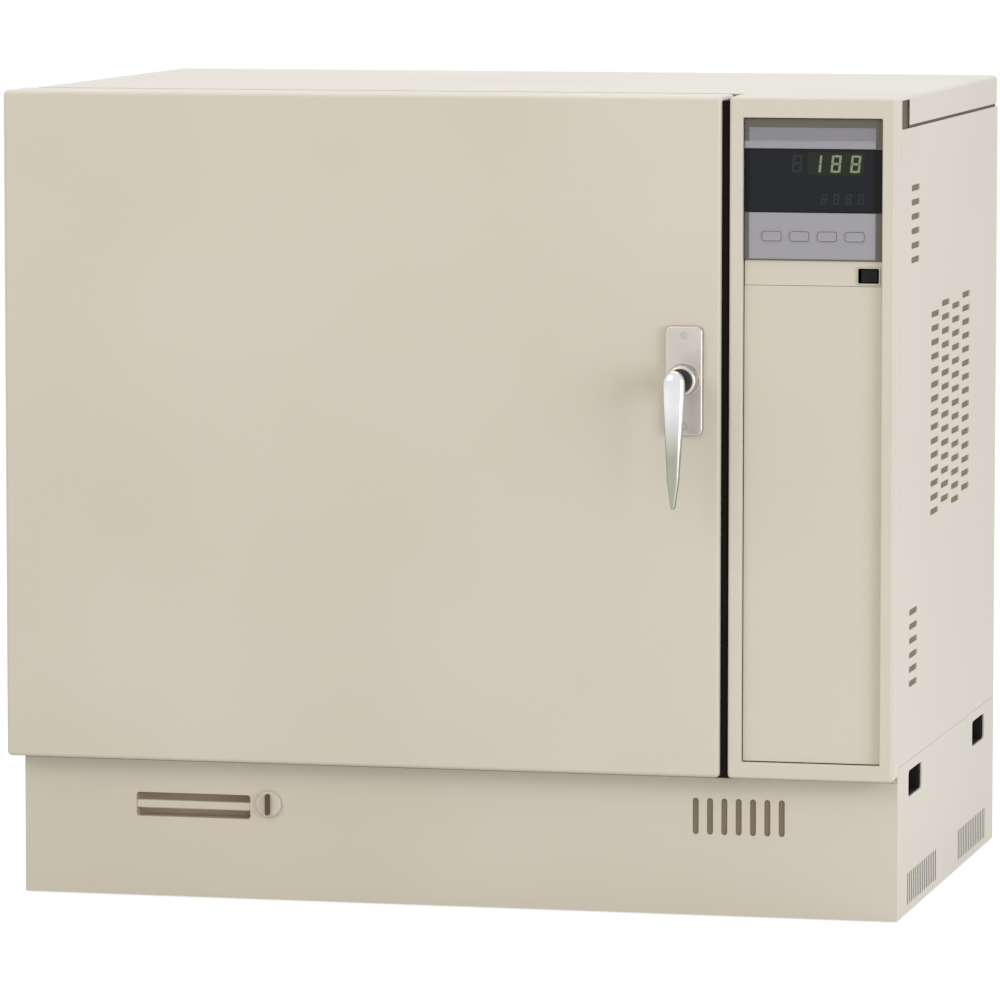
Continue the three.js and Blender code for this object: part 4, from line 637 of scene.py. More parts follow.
def slot_field_tree():
    tree, given = geometry_tree("slot field", [
        ("Columns", "Int"), ("Rows", "Int"), ("Column Pitch", "Float"), ("Row Pitch", "Float"),
        ("Stagger", "Float"), ("Centre", "Vector"), ("Length", "Float"),
        ("Height", "Float"), ("Corner", "Float"),
    ])
    index = add(tree, "GeometryNodeInputIndex").outputs[0]
    # Each row is a named sum of two values: numbers, inputs of the tree, or the names of sums above it.
    sums = {}
    for name, operation, one, two in [
        ("half past", "ADD", index, 0.5), ("share", "DIVIDE", "half past", given["Rows"]),
        ("column", "FLOOR", "share", 0.0), ("passed", "MULTIPLY", "column", given["Rows"]),
        ("row", "SUBTRACT", index, "passed"), ("last column", "SUBTRACT", given["Columns"], 1.0),
        ("middle column", "DIVIDE", "last column", 2.0), ("last row", "SUBTRACT", given["Rows"], 1.0),
        ("middle row", "DIVIDE", "last row", 2.0), ("columns off", "SUBTRACT", "column", "middle column"),
        ("over", "MULTIPLY", "columns off", given["Column Pitch"]),
        ("rows off", "SUBTRACT", "row", "middle row"),
        ("up", "MULTIPLY", "rows off", given["Row Pitch"]), ("odd", "MODULO", "column", 2.0),
        ("shift", "MULTIPLY", "odd", given["Stagger"]), ("height", "ADD", "up", "shift"),
        ("count", "MULTIPLY", given["Columns"], given["Rows"]),
    ]:
        one, two = (sums[value] if isinstance(value, str) else value for value in (one, two))
        sums[name] = add(tree, "ShaderNodeMath", {0: one, 1: two}, operation=operation).outputs[0]
    spot = add(tree, "ShaderNodeCombineXYZ", {"X": sums["over"], "Y": sums["height"]}).outputs[0]
    place = add(tree, "ShaderNodeVectorMath", {0: spot, 1: given["Centre"]}, operation="ADD").outputs[0]
    points = add(tree, "GeometryNodePoints", {"Count": sums["count"], "Position": place}).outputs[0]
    outline = add(tree, "GeometryNodeCurvePrimitiveQuadrilateral", {
        "Width": given["Length"], "Height": given["Height"],
    }).outputs[0]
    rounded = add(tree, "GeometryNodeFilletCurve", {
        "Curve": outline, "Radius": given["Corner"], "Count": 4,
    }, mode="POLY").outputs[0]
    struck = add(tree, "GeometryNodeInstanceOnPoints", {"Points": points, "Instance": rounded}).outputs[0]
    loops = add(tree, "GeometryNodeRealizeInstances", {"Geometry": struck}).outputs[0]
    wires = add(tree, "GeometryNodeCurveToMesh", {"Curve": loops}).outputs[0]
    both = add(tree, "GeometryNodeJoinGeometry")
    tree.links.new(given["Geometry"], both.inputs[0])
    tree.links.new(wires, both.inputs[0])
    add(tree, "NodeGroupOutput", {"Geometry": both.outputs[0]})
    return tree


def blank_sheet_tree():
    tree, given = geometry_tree("blank sheet", [("Thickness", "Float"), ("Finish", "Material")])
    loops = add(tree, "GeometryNodeMeshToCurve", {"Mesh": given["Geometry"]}).outputs[0]
    face = add(tree, "GeometryNodeFillCurve", {"Curve": loops}, mode="NGONS").outputs[0]
    raised = add(tree, "GeometryNodeExtrudeMesh", {
        "Mesh": face, "Offset": (0, 0, 1), "Offset Scale": given["Thickness"], "Individual": False,
    }, mode="FACES").outputs[0]
    back = add(tree, "GeometryNodeFlipFaces", {"Mesh": face}).outputs[0]
    both = add(tree, "GeometryNodeJoinGeometry")
    tree.links.new(raised, both.inputs[0])
    tree.links.new(back, both.inputs[0])
    welded = add(tree, "GeometryNodeMergeByDistance", {
        "Geometry": both.outputs[0], "Distance": 0.001,
    }).outputs[0]
    return end_tree(tree, welded, given["Finish"])


SLOT_FIELD = slot_field_tree()
BLANK_SHEET = blank_sheet_tree()


def field(columns, rows, column_pitch, row_pitch, centre, length, height, corner, stagger=0.0):
    return {
        "Columns": columns, "Rows": rows,
        "Column Pitch": float(column_pitch), "Row Pitch": float(row_pitch),
        "Stagger": float(stagger), "Centre": (*centre, 0.0),
        "Length": float(length), "Height": float(height),
        "Corner": float(corner),
    }


def punched_sheet(outlines, fields, thickness, axis, at, finish):
    """A flat sheet across an axis, from that place on, with its holes struck through."""
    wire = bmesh.new()
    for outline in outlines:
        loop = [wire.verts.new((u, v, 0)) for u, v in outline]
        for one, two in zip(loop, loop[1:] + loop[:1]):
            wire.edges.new((one, two))
    obj = loose_object("blank", wire)
    for values in fields:
        run_tree(obj, SLOT_FIELD, values)
    run_tree(obj, BLANK_SHEET, {"Thickness": float(thickness), "Finish": finish})
    shape = shape_of(obj)
    for vert in shape.verts:
        u, v, w = vert.co
        vert.co = standing(axis, u, v, at + w)
    return shape


print("trees", SLOT_FIELD.name, BLANK_SHEET.name)

# %% [markdown]
# ## Door
#
# The outer shell is one folded and welded pan. Its front edges are bent over a 4 mm radius, the corners
# are ground round, and the rim turns in at the back so that the inner panel can be screwed to it.
# Lofting rounded rectangles through that section gives the same soft highlight round the edge as a press
# brake does.

# %% Door shell
SKIN = 1.5
DOOR_EDGE, DOOR_CORNER, DOOR_RETURN = 4, 5, 18
LEAST_CORNER = 0.3
QUARTER_STEPS = 5


def quarter(radius, steps=QUARTER_STEPS):
    """(inset, depth) pairs from a face round to its side."""
    turns = [math.pi / 2 * k / steps for k in range(steps + 1)]
    return [(radius * (1 - math.sin(t)), radius * (1 - math.cos(t))) for t in turns]


door_low, door_high = corners("door_outer_shell")
rows = [(inset, door_low.y + depth) for inset, depth in quarter(DOOR_EDGE)]
rows += [(inset, door_high.y - back) for inset, back in [
    (0, 2), (0.3, 0.9), (0.9, 0.3), (2, 0), (DOOR_RETURN, 0), (DOOR_RETURN, SKIN), (SKIN, SKIN),
]]
rows.append((SKIN, door_low.y + SKIN))
shape = loft(box_rings("y", door_low, door_high, rows, DOOR_CORNER, LEAST_CORNER))
finish_piece("door_skin", shape, beige_coat, ["door_outer_shell"])
print("door", [round(v) for v in door_high - door_low])

# %% [markdown]
# ## Control column
#
# The column is a second folded pan with a large window cut in it. The window's lips are flanged inwards,
# so the controller and the two plates sit back from the front. Only the wall beside the door runs back
# to the door seat.

# %% Column frame
COLUMN_EDGE, COLUMN_CORNER, COLUMN_DEEP = 3, 4, 31.5
WINDOW_FIT, WINDOW_CORNER = 0.8, 1.5
LIP_RADIUS, LIP_STEPS = 1.2, 4
column_low, column_high = corners("column_frame")
plate_low, plate_high = corners("blank_plate")
window_left, window_right = plate_low.x - WINDOW_FIT, plate_high.x + WINDOW_FIT
window_low, window_high = plate_low.z - WINDOW_FIT, corners("controller_housing")[1].z + WINDOW_FIT
lip_back = plate_low.y - 0.3
side_back = column_low.y + COLUMN_DEEP


def window_ring(grow, y):
    return across("y", rect_ring(
        window_left - grow, window_right + grow, window_low - grow,
        window_high + grow, WINDOW_CORNER + grow / 2,
    ), y)


rings = [window_ring(SKIN, lip_back), window_ring(0, lip_back), window_ring(0, column_low.y + LIP_RADIUS)]
for k in range(1, LIP_STEPS + 1):
    angle = math.pi / 2 * k / LIP_STEPS
    rings.append(window_ring(
        LIP_RADIUS * (1 - math.cos(angle)), column_low.y + LIP_RADIUS * (1 - math.sin(angle)),
    ))
rings += box_rings("y", column_low, column_high, [
    *((inset, column_low.y + depth) for inset, depth in quarter(COLUMN_EDGE)),
    (0, side_back), (SKIN, side_back), (SKIN, column_low.y + SKIN),
], COLUMN_CORNER, LEAST_CORNER)
rings.append(window_ring(SKIN, column_low.y + SKIN))
shape = loft(rings, wrap=True)
block((column_low.x, side_back - 1, column_low.z),
      (column_low.x + SKIN, column_high.y, column_high.z - 2), onto=shape)
finish_piece("column_skin", shape, beige_coat, ["column_frame"])
print("window", round(window_right - window_left), "by", round(window_high - window_low))

# %% [markdown]
# ## Seal beside the door
#
# A black rubber profile lines the gap between door and column, to keep hot air off the controls. Its
# near-black is also painted shade, for the deep shade inside that narrow gap. It is extruded, with a
# rounded nose towards the front, so it is one section swept upwards.

# %% Column seal
NOSE_DEEP, NOSE_STEPS = 2.5, 8
seal_low, seal_high = corners("column_seal")
nose = (seal_high.x - seal_low.x) / 2
section = []
for k in range(NOSE_STEPS + 1):
    angle = math.pi + math.pi * k / NOSE_STEPS
    section.append((
        seal_low.x + nose + nose * math.cos(angle), seal_low.y + NOSE_DEEP + NOSE_DEEP * math.sin(angle),
    ))
section += [(seal_high.x, seal_high.y), (seal_low.x, seal_high.y)]
shape = loft([across("z", section, z) for z in (seal_low.z, seal_high.z)])
# The rubber's near-black is partly painted shade for the deep narrow gap.
finish_piece("column_rubber", shape, seal_and_gap_shade_rubber, ["column_seal"], soften=0.3)
print("seal", round(seal_high.z - seal_low.z))

# %% [markdown]
# ## Top cover
#
# The lid is a shallow pan turned upside down. Its skirt hides the upper edge of the sides. In front, a
# tongue reaches forward over the column only, and a notch at the right lets the side panel's ear come
# up. The pan is lofted whole, and then the front is trimmed with three cuts, as a nibbler would do it.

# %% Top cover
LID_EDGE, LID_CORNER = 4, 5
OVERHANG, NOTCH_LONG = 30, 45
BEYOND = 50
lid_low, lid_high = corners("top_cover")
seat_y = corners("front_frame")[0].y
notch_y = lid_low.y + NOTCH_LONG
rows = [(inset, lid_high.z - depth) for inset, depth in quarter(LID_EDGE)]
rows += [(0, lid_low.z), (SKIN, lid_low.z), (SKIN, lid_high.z - SKIN)]
pan = box_rings("z", (lid_low.x, lid_low.y - OVERHANG, lid_low.z), lid_high, rows, LID_CORNER, 0.4)
ahead, below, above = lid_low.y - 99, 700, 900
lid = finish_piece("lid_skin", carve(
    loft(pan),
    ((lid_low.x - BEYOND, ahead, below), (lid_high.x + BEYOND, lid_low.y, above)),
    ((lid_low.x - BEYOND, ahead, below), (column_low.x - 0.3, seat_y, above)),
    ((lid_high.x - LID_EDGE, ahead, below), (lid_high.x + BEYOND, notch_y, lid_high.z - LID_EDGE)),
), beige_coat, ["top_cover"], soften=0.3)
print("lid faces", len(lid.data.polygons))

# %% Lining behind the cover's seam
# The lining's dark brown is painted shade: it gives the open seam under the lid the shade seen in it.
LINING_THICK, LINING_BACK, LINING_ENDS = 1.2, 1.8, 4
LINING_LOW, LINING_HIGH = lid_low.z - 12, lid_low.z + 8
rear_y = lid_high.y - LINING_BACK
notch_x = lid_high.x - LINING_BACK - LINING_THICK
shape = bmesh.new()
for side_x in (lid_low.x + LINING_BACK, notch_x):
    block((side_x, notch_y, LINING_LOW), (side_x + LINING_THICK, rear_y - 2, LINING_HIGH), onto=shape)
block((lid_low.x + LINING_ENDS, rear_y - LINING_THICK, LINING_LOW),
      (lid_high.x - LINING_ENDS, rear_y, LINING_HIGH), onto=shape)
block((notch_x, lid_low.y + 1, LINING_LOW),
      (notch_x + LINING_THICK, notch_y + 6, lid_high.z - 2.2), onto=shape)
finish_piece("seam_lining", shape, shade_brown_abs, like="top_cover", soften=0.15)
print("lining", round(LINING_HIGH - LINING_LOW), "high")

# %% [markdown]
# ## Side panels
#
# The right side has a removable panel in front of the equipment compartment, with a staggered field of
# slots at the height of the fan motor and two short groups near the front. Below it is a fixed strip
# with two carrying grips and two rows of upright slots. The left side has no equipment behind it, so it
# is plain above the plinth. All are punched from 1.5 mm sheet and folded in at the back.

# %% Side panels
SLOT_LONG, SLOT_HIGH, SLOT_PITCH = 46, 6, 14
FIELD_COLUMNS, FIELD_ROWS, FIELD_PITCH, FIELD_BACK, FIELD_UP = 4, 15, 63, 23.5, 10
GROUP_ROWS, GROUP_BACK, GROUP_BELOW_LID, GROUP_ABOVE_FOOT = 6, 83.2, 126, 120
GRIP_LONG, GRIP_HIGH, GRIP_CORNER = 76, 26, 5
FOOT_SLOT_WIDE, FOOT_SLOT_HIGH, FOOT_SLOT_PITCH, FOOT_SLOTS = 5, 32, 11, 16
FOOT_GROUPS_BACK, FOOT_GROUPS_UP = (143.2, 449.2), 12
EAR, EAR_BELOW_LID, REAR_FOLD = 3, 3, 14
SILL_CLEAR = 3.7
ROUND_END = 0.49


def centre_of(node):
    low, high = corners(node)
    return (low + high) / 2


def outline_of(node, axis):
    """The rectangular outline of a node's box across an axis."""
    low, high = corners(node)
    u, v = PLANE[axis]
    return [(low[u], low[v]), (high[u], low[v]), (high[u], high[v]), (low[u], high[v])]


def slots(columns, rows, column_pitch, row_pitch, centre, length, height, stagger=0):
    return field(
        columns, rows, column_pitch, row_pitch, centre, length,
        height, min(length, height) * ROUND_END, stagger,
    )


def hole(centre, wide):
    return slots(1, 1, 0, 0, centre, wide, wide)


def base_fields(side):
    """The bottom slots and the grips' openings, the same on both sides."""
    low = corners("base_pan")[0]
    grips = [centre_of(f"carry_grip_{place}_{side}") for place in ("front", "rear")]
    return [
        slots(FOOT_SLOTS, 1, FOOT_SLOT_PITCH, 0, (low.y + back, low.z + FOOT_GROUPS_UP),
              FOOT_SLOT_WIDE, FOOT_SLOT_HIGH)
        for back in FOOT_GROUPS_BACK
    ] + [field(1, 1, 0, 0, (grip.y, grip.z), GRIP_LONG, GRIP_HIGH, GRIP_CORNER) for grip in grips]


low, high = corners("side_panel_right")
fan_middle = centre_of("fan_wheel")
field_middle = (fan_middle.y + FIELD_BACK, fan_middle.z + FIELD_UP)
ear_z = lid_low.z - EAR_BELOW_LID
outline = [
    (low.y, low.z), (high.y, low.z), (high.y, ear_z),
    (low.y + EAR, ear_z), (low.y + EAR, high.z), (low.y, high.z),
]
shape = punched_sheet([outline], [
    slots(FIELD_COLUMNS, FIELD_ROWS, FIELD_PITCH, SLOT_PITCH, field_middle,
          SLOT_LONG, SLOT_HIGH, SLOT_PITCH / 2),
    *(slots(1, GROUP_ROWS, 0, SLOT_PITCH, (low.y + GROUP_BACK, z), SLOT_LONG, SLOT_HIGH)
      for z in (lid_high.z - GROUP_BELOW_LID, door_low.z + GROUP_ABOVE_FOOT)),
], SKIN, "x", high.x - SKIN, beige_coat)
block((high.x - REAR_FOLD, high.y - SKIN, low.z), (high.x - SKIN, high.y, ear_z), onto=shape)
side_service = finish_piece("side_service_panel", shape, beige_coat, ["side_panel_right"])

low, high = corners("side_strip_right")
outline = outline_of("side_strip_right", "x")
shape = punched_sheet([outline], base_fields("right"), SKIN, "x", high.x - SKIN, beige_coat)
block((high.x - REAR_FOLD, high.y - SKIN, low.z), (high.x - SKIN, high.y, high.z), onto=shape)
side_strip = finish_piece("side_base_strip", shape, beige_coat, ["side_strip_right"])

low, high = corners("side_panel_left")
step_z = corners("plinth_front_cover")[1].z + SILL_CLEAR
outline = [
    (low.y, low.z), (high.y, low.z), (high.y, high.z), (seat_y, high.z), (seat_y, step_z), (low.y, step_z),
]
shape = punched_sheet([outline], base_fields("left"), SKIN, "x", low.x, beige_coat)
block((low.x + SKIN, high.y - SKIN, low.z), (low.x + REAR_FOLD, high.y, high.z), onto=shape)
finish_piece("side_plain_panel", shape, beige_coat, ["side_panel_left"])
print("punched faces", len(side_service.data.polygons), len(side_strip.data.polygons))

# %% [markdown]
# ## Carrying grips
#
# Each grip is a moulded cup behind a rounded hole. The mould needs draft, so the walls close in towards
# the bottom, and the bottom edge is rounded where fingertips press. A cup could be hollowed out of a
# block, but a loft through rounded rectangles gives the draft, the wall and the flange as one closed
# skin.

# %% Grips
GRIP_FLANGE, GRIP_WALL = 7, 2
for place in ("front_left", "rear_left", "front_right", "rear_right"):
    node = "carry_grip_" + place
    low, high = corners(node)
    mouth, inward = (low.x, 1) if place.endswith("left") else (high.x, -1)
    deep = high.x - low.x
    rings = box_rings("x", *around((low + high) / 2, GRIP_LONG, GRIP_HIGH), [
        (-grow, mouth + inward * depth) for grow, depth in [
            (-3.9, deep - GRIP_WALL), (-2.4, deep - GRIP_WALL - 0.6),
            (-1.5, deep - GRIP_WALL - 2.5), (0, 2.2),
            (0.4, 0.8), (1.3, 0), (GRIP_FLANGE - 0.6, 0), (GRIP_FLANGE, 0.6), (GRIP_FLANGE, GRIP_WALL),
            (GRIP_WALL, GRIP_WALL), (0.6, deep - 3), (-0.4, deep - 0.8), (-2.4, deep),
        ]
    ], GRIP_CORNER, 0.8)
    finish_piece("grip_cup_" + place, loft(rings), black_abs, [node])
print("grips 4")

# %% [markdown]
# ## Plinth front
#
# The plinth is closed by a removable cover with seven upright air slots under the column. It is punched
# by the same trees as the sides. Behind its upper edge a folded sill closes the gap under the door and
# the column. The sill is one bent section, so it is drawn once from the side and lofted along the
# plinth.

# %% Plinth cover and sill
PULL_LONG, PULL_HIGH, PULL_CORNER = 117, 24, 3
PLINTH_SLOTS, PLINTH_SLOT_PITCH, PLINTH_SLOT_WIDE, PLINTH_SLOT_HIGH = 7, 14.2, 6, 36
VENT_FROM_RIGHT, VENT_FROM_TOP = 156.4, 38
KNOB_HOLE = 10.6
SILL_DEEP, SILL_GAP = 14, 0.2
cover_low, cover_high = low, high = corners("plinth_front_cover")
pull = centre_of("plinth_pull_cup")
knob_low, knob_high = corners("plinth_cover_lock")
knob_x = (knob_low.x + knob_high.x) / 2
knob_z = knob_high.z - (knob_high.x - knob_low.x) / 2
plinth = finish_piece("plinth_skin", punched_sheet([outline_of("plinth_front_cover", "y")], [
    slots(PLINTH_SLOTS, 1, PLINTH_SLOT_PITCH, 0, (high.x - VENT_FROM_RIGHT, high.z - VENT_FROM_TOP),
          PLINTH_SLOT_WIDE, PLINTH_SLOT_HIGH),
    field(1, 1, 0, 0, (pull.x, pull.z), PULL_LONG, PULL_HIGH, PULL_CORNER),
    hole((knob_x, knob_z), KNOB_HOLE),
], SKIN, "y", low.y, beige_coat), beige_coat, ["plinth_front_cover"])
sill_front, sill_inner = low.y + SKIN + SILL_GAP, low.y + 2 * SKIN + SILL_GAP
sill_top, sill_under = high.z - SILL_GAP, high.z - SKIN - SILL_GAP
seat_back = seat_y - 0.4
sill = [
    (sill_front, high.z - SILL_DEEP), (sill_front, sill_top),
    (seat_back, sill_top), (seat_back, sill_under),
    (sill_inner, sill_under), (sill_inner, high.z - SILL_DEEP),
]
sill_end = high.x - SKIN - 0.3
shape = loft([across("x", sill, low.x + SKIN + 0.3), across("x", sill, sill_end)])
block((column_low.x, sill_front, high.z), (sill_end, sill_inner, column_low.z - SILL_GAP), onto=shape)
finish_piece("seat_sill", shape, beige_coat, like="plinth_front_cover", soften=0.3)
print("plinth cover", len(plinth.data.polygons))

# %% [markdown]
# ## Pull and knob
#
# The pull is a recess with a rounded bar across its mouth, so fingers hook behind the bar from above or
# below. A quarter-turn knob beside it holds the cover. The knob could be a plain cylinder, but its flange
# and its rounded edge catch the light, so its profile is turned like lathe work and the wing is lofted on
# top.

# %% Pull and knob
PULL_FLANGE = 7
BAR_DEEP, BAR_HALF, BAR_CORNER = 5, 4.2, 1.8
low, high = corners("plinth_pull_cup")
rings = box_rings("y", *around(pull, PULL_LONG, PULL_HIGH), [(-grow, y) for grow, y in [
    (-2.5, high.y - SKIN), (-0.7, high.y - SKIN - 0.7),
    (0, high.y - SKIN - 2.5), (0, low.y), (PULL_FLANGE, low.y),
    (PULL_FLANGE, low.y + SKIN), (SKIN, low.y + SKIN),
    (SKIN, high.y - 3), (0.6, high.y - 0.6), (-2.4, high.y),
]], PULL_CORNER, 0.8)
# The cup's light brown is painted shade: the recess is darker than the paint round it.
finish_piece("pull_cup", loft(rings), cup_shade_abs, ["plinth_pull_cup"])
bar = rect_ring(low.y, low.y + BAR_DEEP, pull.z - BAR_HALF, pull.z + BAR_HALF, BAR_CORNER)
reach = PULL_LONG / 2 - 0.1
shape = loft([across("x", bar, pull.x - reach), across("x", bar, pull.x + reach)])
finish_piece("pull_bar", shape, beige_coat, like="plinth_pull_cup")

face_y = cover_low.y - 0.3
shape = turned("y", (knob_x, face_y, knob_z), [
    (5, 3.6), (5, 0), (12.6, 0), (13, -0.4), (13, -2.6), (12.2, -3.6), (10.8, -4),
], 48)
tongue = rect_ring(knob_x - 5, knob_x + 5, knob_low.z, knob_z + 5, 2.5)
loft([across("y", tongue, face_y + 2.1), across("y", tongue, knob_high.y)], onto=shape)
finish_piece("cover_knob", shape, beige_coat, ["plinth_cover_lock"])
wing = rect_ring(knob_x - 2.2, knob_x + 2.2, knob_z - 10.6, knob_z + 10.6, 2.1)
tip = rect_ring(knob_x - 1.5, knob_x + 1.5, knob_z - 9.9, knob_z + 9.9, 1.4)
shape = loft([
    across("y", wing, face_y - 3.85), across("y", wing, face_y - 8), across("y", tip, knob_low.y),
])
# The wing is dark brown as painted shade, for the shaded slot across the knob.
finish_piece("knob_wing", shape, shade_brown_abs, like="plinth_cover_lock")
print("pull", PULL_LONG, "by", PULL_HIGH)

# %% [markdown]
# ## Controller
#
# The controller is a moulded grey housing. A darker frame on it is painted shade: it stands for the
# shadow that the window's lips throw along its top and both sides. A ledge runs across it above the
# display and throws a light band. The frame is a thin plate with openings for a header, the display and
# the keys, so it is a slab with blocks cut out of it. The header is a darker grey than the housing, as
# painted shade under the window's top lip. The ledge keeps one section from end to end, so it is lofted
# along its length.

# %% Controller housing and trim
LEDGE_HIGH, LEDGE_PROUD = 8, 0.9
LIP_SHADE_TOP, LIP_SHADE_LEFT, LIP_SHADE_RIGHT, LIP_SHADE_FOOT = 8.5, 4.5, 6.5, 1.2
LIP_SHADE_PROUD, LIP_SHADE_FIT = 0.35, 0.3

refined("controller_housing", grey_abs, soften=0.5)
face_low, face_high = corners("controller_housing")
low, high = corners("display_window")
ledge_y, ledge_top = low.y - LEDGE_PROUD, high.z + LEDGE_HIGH
section = [
    (low.y + 1, high.z + 0.3), (ledge_y + 0.3, high.z + 0.5), (ledge_y, high.z + 1.2),
    (ledge_y, ledge_top - 2), (low.y + 0.3, ledge_top), (low.y + 1, ledge_top),
]
shape = loft([across("x", section, x) for x in (low.x, high.x - LIP_SHADE_RIGHT)])
finish_piece("controller_ledge", shape, key_abs, like="controller_housing", soften=0.15)
lip_shade_front, lip_shade_back = face_low.y - LIP_SHADE_PROUD, face_low.y + 0.6
before, behind = lip_shade_front - 1, lip_shade_back + 1
inner_left, inner_right = face_low.x + LIP_SHADE_LEFT, face_high.x - LIP_SHADE_RIGHT
inner_top = face_high.z - LIP_SHADE_TOP
# The frame's dark grey-brown is painted shade from the window's top and side lips.
shape = carve(
    loft(box_rings("y", face_low, face_high, [(0, lip_shade_front), (0, lip_shade_back)], 2)),
    ((inner_left, before, face_low.z + LIP_SHADE_FOOT), (inner_right, behind, low.z)),
    ((face_low.x - 1, before, low.z - 0.1), (face_high.x + 1, behind, high.z + 0.1)),
    ((inner_left, before, high.z), (inner_right, behind, inner_top)),
)
finish_piece("controller_trim", shape, lip_shade_abs, like="controller_housing", soften=0.2)
# The header's darker grey is painted shade under the window's top lip.
shape = loft([
    across("y", rect_ring(
        inner_left + LIP_SHADE_FIT + inset, inner_right - LIP_SHADE_FIT - inset, ledge_top + 0.2,
        inner_top - LIP_SHADE_FIT - inset, 0.8,
    ), y) for inset, y in ((0.3, face_low.y - 0.15), (0, face_low.y + 0.1), (0, lip_shade_back))
])
finish_piece("controller_header", shape, header_shade_abs, like="controller_housing")
print("housing", round(face_high.z - face_low.z), "high")

# %% [markdown]
# ## Display
#
# The display is a strip of smoked acrylic from edge to edge, printed black at both ends, and these black
# ends are also painted shade where the window's side lips throw their shadow. Behind it, three
# seven-segment digits glow pale green under a green filter, and the others are unlit. The figures could
# be text, but a real one is made of separate bars with gaps, so each bar is a small plate, leaning with
# the figure.

# %% Display and digits
DIGIT_HIGH, DIGIT_WIDE, SEGMENT_WIDE, DIGIT_SLANT = 17, 9.5, 2.2, 0.1
SEGMENTS = {"8": "abcdefg", "1": "bc"}
MASK_LEFT, MASK_RIGHT, MASK_EDGE = 5, 8.5, 1.2
FILTER_LEFT, FILTER_RIGHT, FILTER_EDGE = 3, 14, 2.5
SMALL = 0.6

shape = loft(box_rings("y", low, high, [(0, low.y + 0.25), (0, high.y)], 1))
finish_piece("display_pane", shape, smoked_acrylic, ["display_window"], soften=0.2)
# The mask's black ends are print and also painted shade of the window's side lips.
shape = carve(
    loft(box_rings("y", low, high, [(0, low.y + 0.2), (0, low.y + 0.5)], 1)),
    ((low.x + MASK_LEFT, low.y - 1, low.z + MASK_EDGE),
     (high.x - MASK_RIGHT, low.y + 1, high.z - MASK_EDGE)),
)
finish_piece("display_mask", shape, black_gloss, like="display_window")


def add_digit(shape, left, bottom, figure, size):
    """The lit bars of a seven-segment figure, leaning slightly as they do on real displays."""
    wide, tall, bar = DIGIT_WIDE * size, DIGIT_HIGH * size, SEGMENT_WIDE * size
    half = tall / 2
    spans = {
        "a": (bar, wide - bar, tall - bar, tall), "b": (wide - bar, wide, half + 0.3, tall - 0.3),
        "c": (wide - bar, wide, 0.3, half - 0.3),
        "d": (bar, wide - bar, 0, bar), "e": (0, bar, 0.3, half - 0.3),
        "f": (0, bar, half + 0.3, tall - 0.3), "g": (bar, wide - bar, half - bar / 2, half + bar / 2),
    }
    for name in SEGMENTS[figure]:
        x0, x1, z0, z1 = spans[name]
        ring = [
            (left + u + DIGIT_SLANT * v, bottom + v) for u, v in rect_ring(x0, x1, z0, z1, bar * 0.3, 2)
        ]
        loft([across("y", ring, low.y + 0.15), across("y", ring, low.y + 0.4)], onto=shape)
    return shape


first_row, small_row = high.z - 22.5, low.z + 8
digit_lefts = [x + ORIGIN_MM.x for x in (361.5, 380.5, 399.5)]
ring = rect_ring(
    digit_lefts[0] - FILTER_LEFT, digit_lefts[-1] + FILTER_RIGHT, first_row - FILTER_EDGE,
    first_row + DIGIT_HIGH + FILTER_EDGE, 1,
)
shape = loft([across("y", ring, y) for y in (low.y + 0.2, low.y + 0.45)])
finish_piece("digit_filter", shape, digit_filter, like="display_window")
shape = bmesh.new()
for left, figure in zip(digit_lefts, "188"):
    add_digit(shape, left, first_row, figure, 1)
finish_piece("lit_digits", shape, lit_green, like="display_window")
shape = add_digit(bmesh.new(), 342.5 + ORIGIN_MM.x, first_row, "8", 1)
for place in (371, 383, 395, 407):
    add_digit(shape, place + ORIGIN_MM.x, small_row, "8", SMALL)
finish_piece("dim_digits", shape, unlit_segment, like="display_window")
print("display", round(high.x - low.x), "wide")

# %% [markdown]
# ## Keys and rocker
#
# The keys are low moulded caps of the same grey as the housing, each on its own spring. The power switch
# is a glossy black rocker in a beige frame, and the throat round it is dark, because the rocker needs
# room to tilt. A bevel alone would leave the caps flat, so their soft domes are lofted.

# %% Keys and rocker
for index in range(1, 5):
    low, high = corners(f"key_{index}")
    rings = box_rings("y", low, high, [
        (3, low.y + 0.35), (1.4, low.y + 0.1), (0.8, low.y),
        (0.3, low.y + 0.15), (0, low.y + 0.6), (0, high.y),
    ], 2.2, 0.4)
    finish_piece(f"key_cap_{index}", loft(rings), grey_abs, [f"key_{index}"])

refined("rocker", black_gloss, soften=0.6, steps=3)
low, high = corners("rocker_housing")
shape = loft(box_rings("y", low, high, [
    (1.3, low.y + 1.2), (1.3, low.y + 0.2), (1.1, low.y), (0.5, low.y), (0, low.y + 0.5), (0, low.y + 1.2),
], 1), wrap=True)
finish_piece("rocker_frame", shape, rocker_abs, ["rocker_housing"])
shape = loft(box_rings("y", low, high, [
    (2, high.y - 1.5), (2, low.y + 0.5), (1.8, low.y + 0.3), (1.35, low.y + 0.3), (1.35, low.y + 1.25),
    (1, low.y + 1.25), (1, high.y),
], 1))
finish_piece("rocker_throat", shape, black_gloss, like="rocker_housing")
print("keys 4")

# %% [markdown]
# ## Plates in the column
#
# The switch plate and the blank plate below it are thin painted sheets. The blank one has two pressed
# grooves where it can be cut for more instruments. They could be drawn by bump alone, but then they would
# vanish at a low angle, so the plate's section has two shallow V shapes and is lofted across.

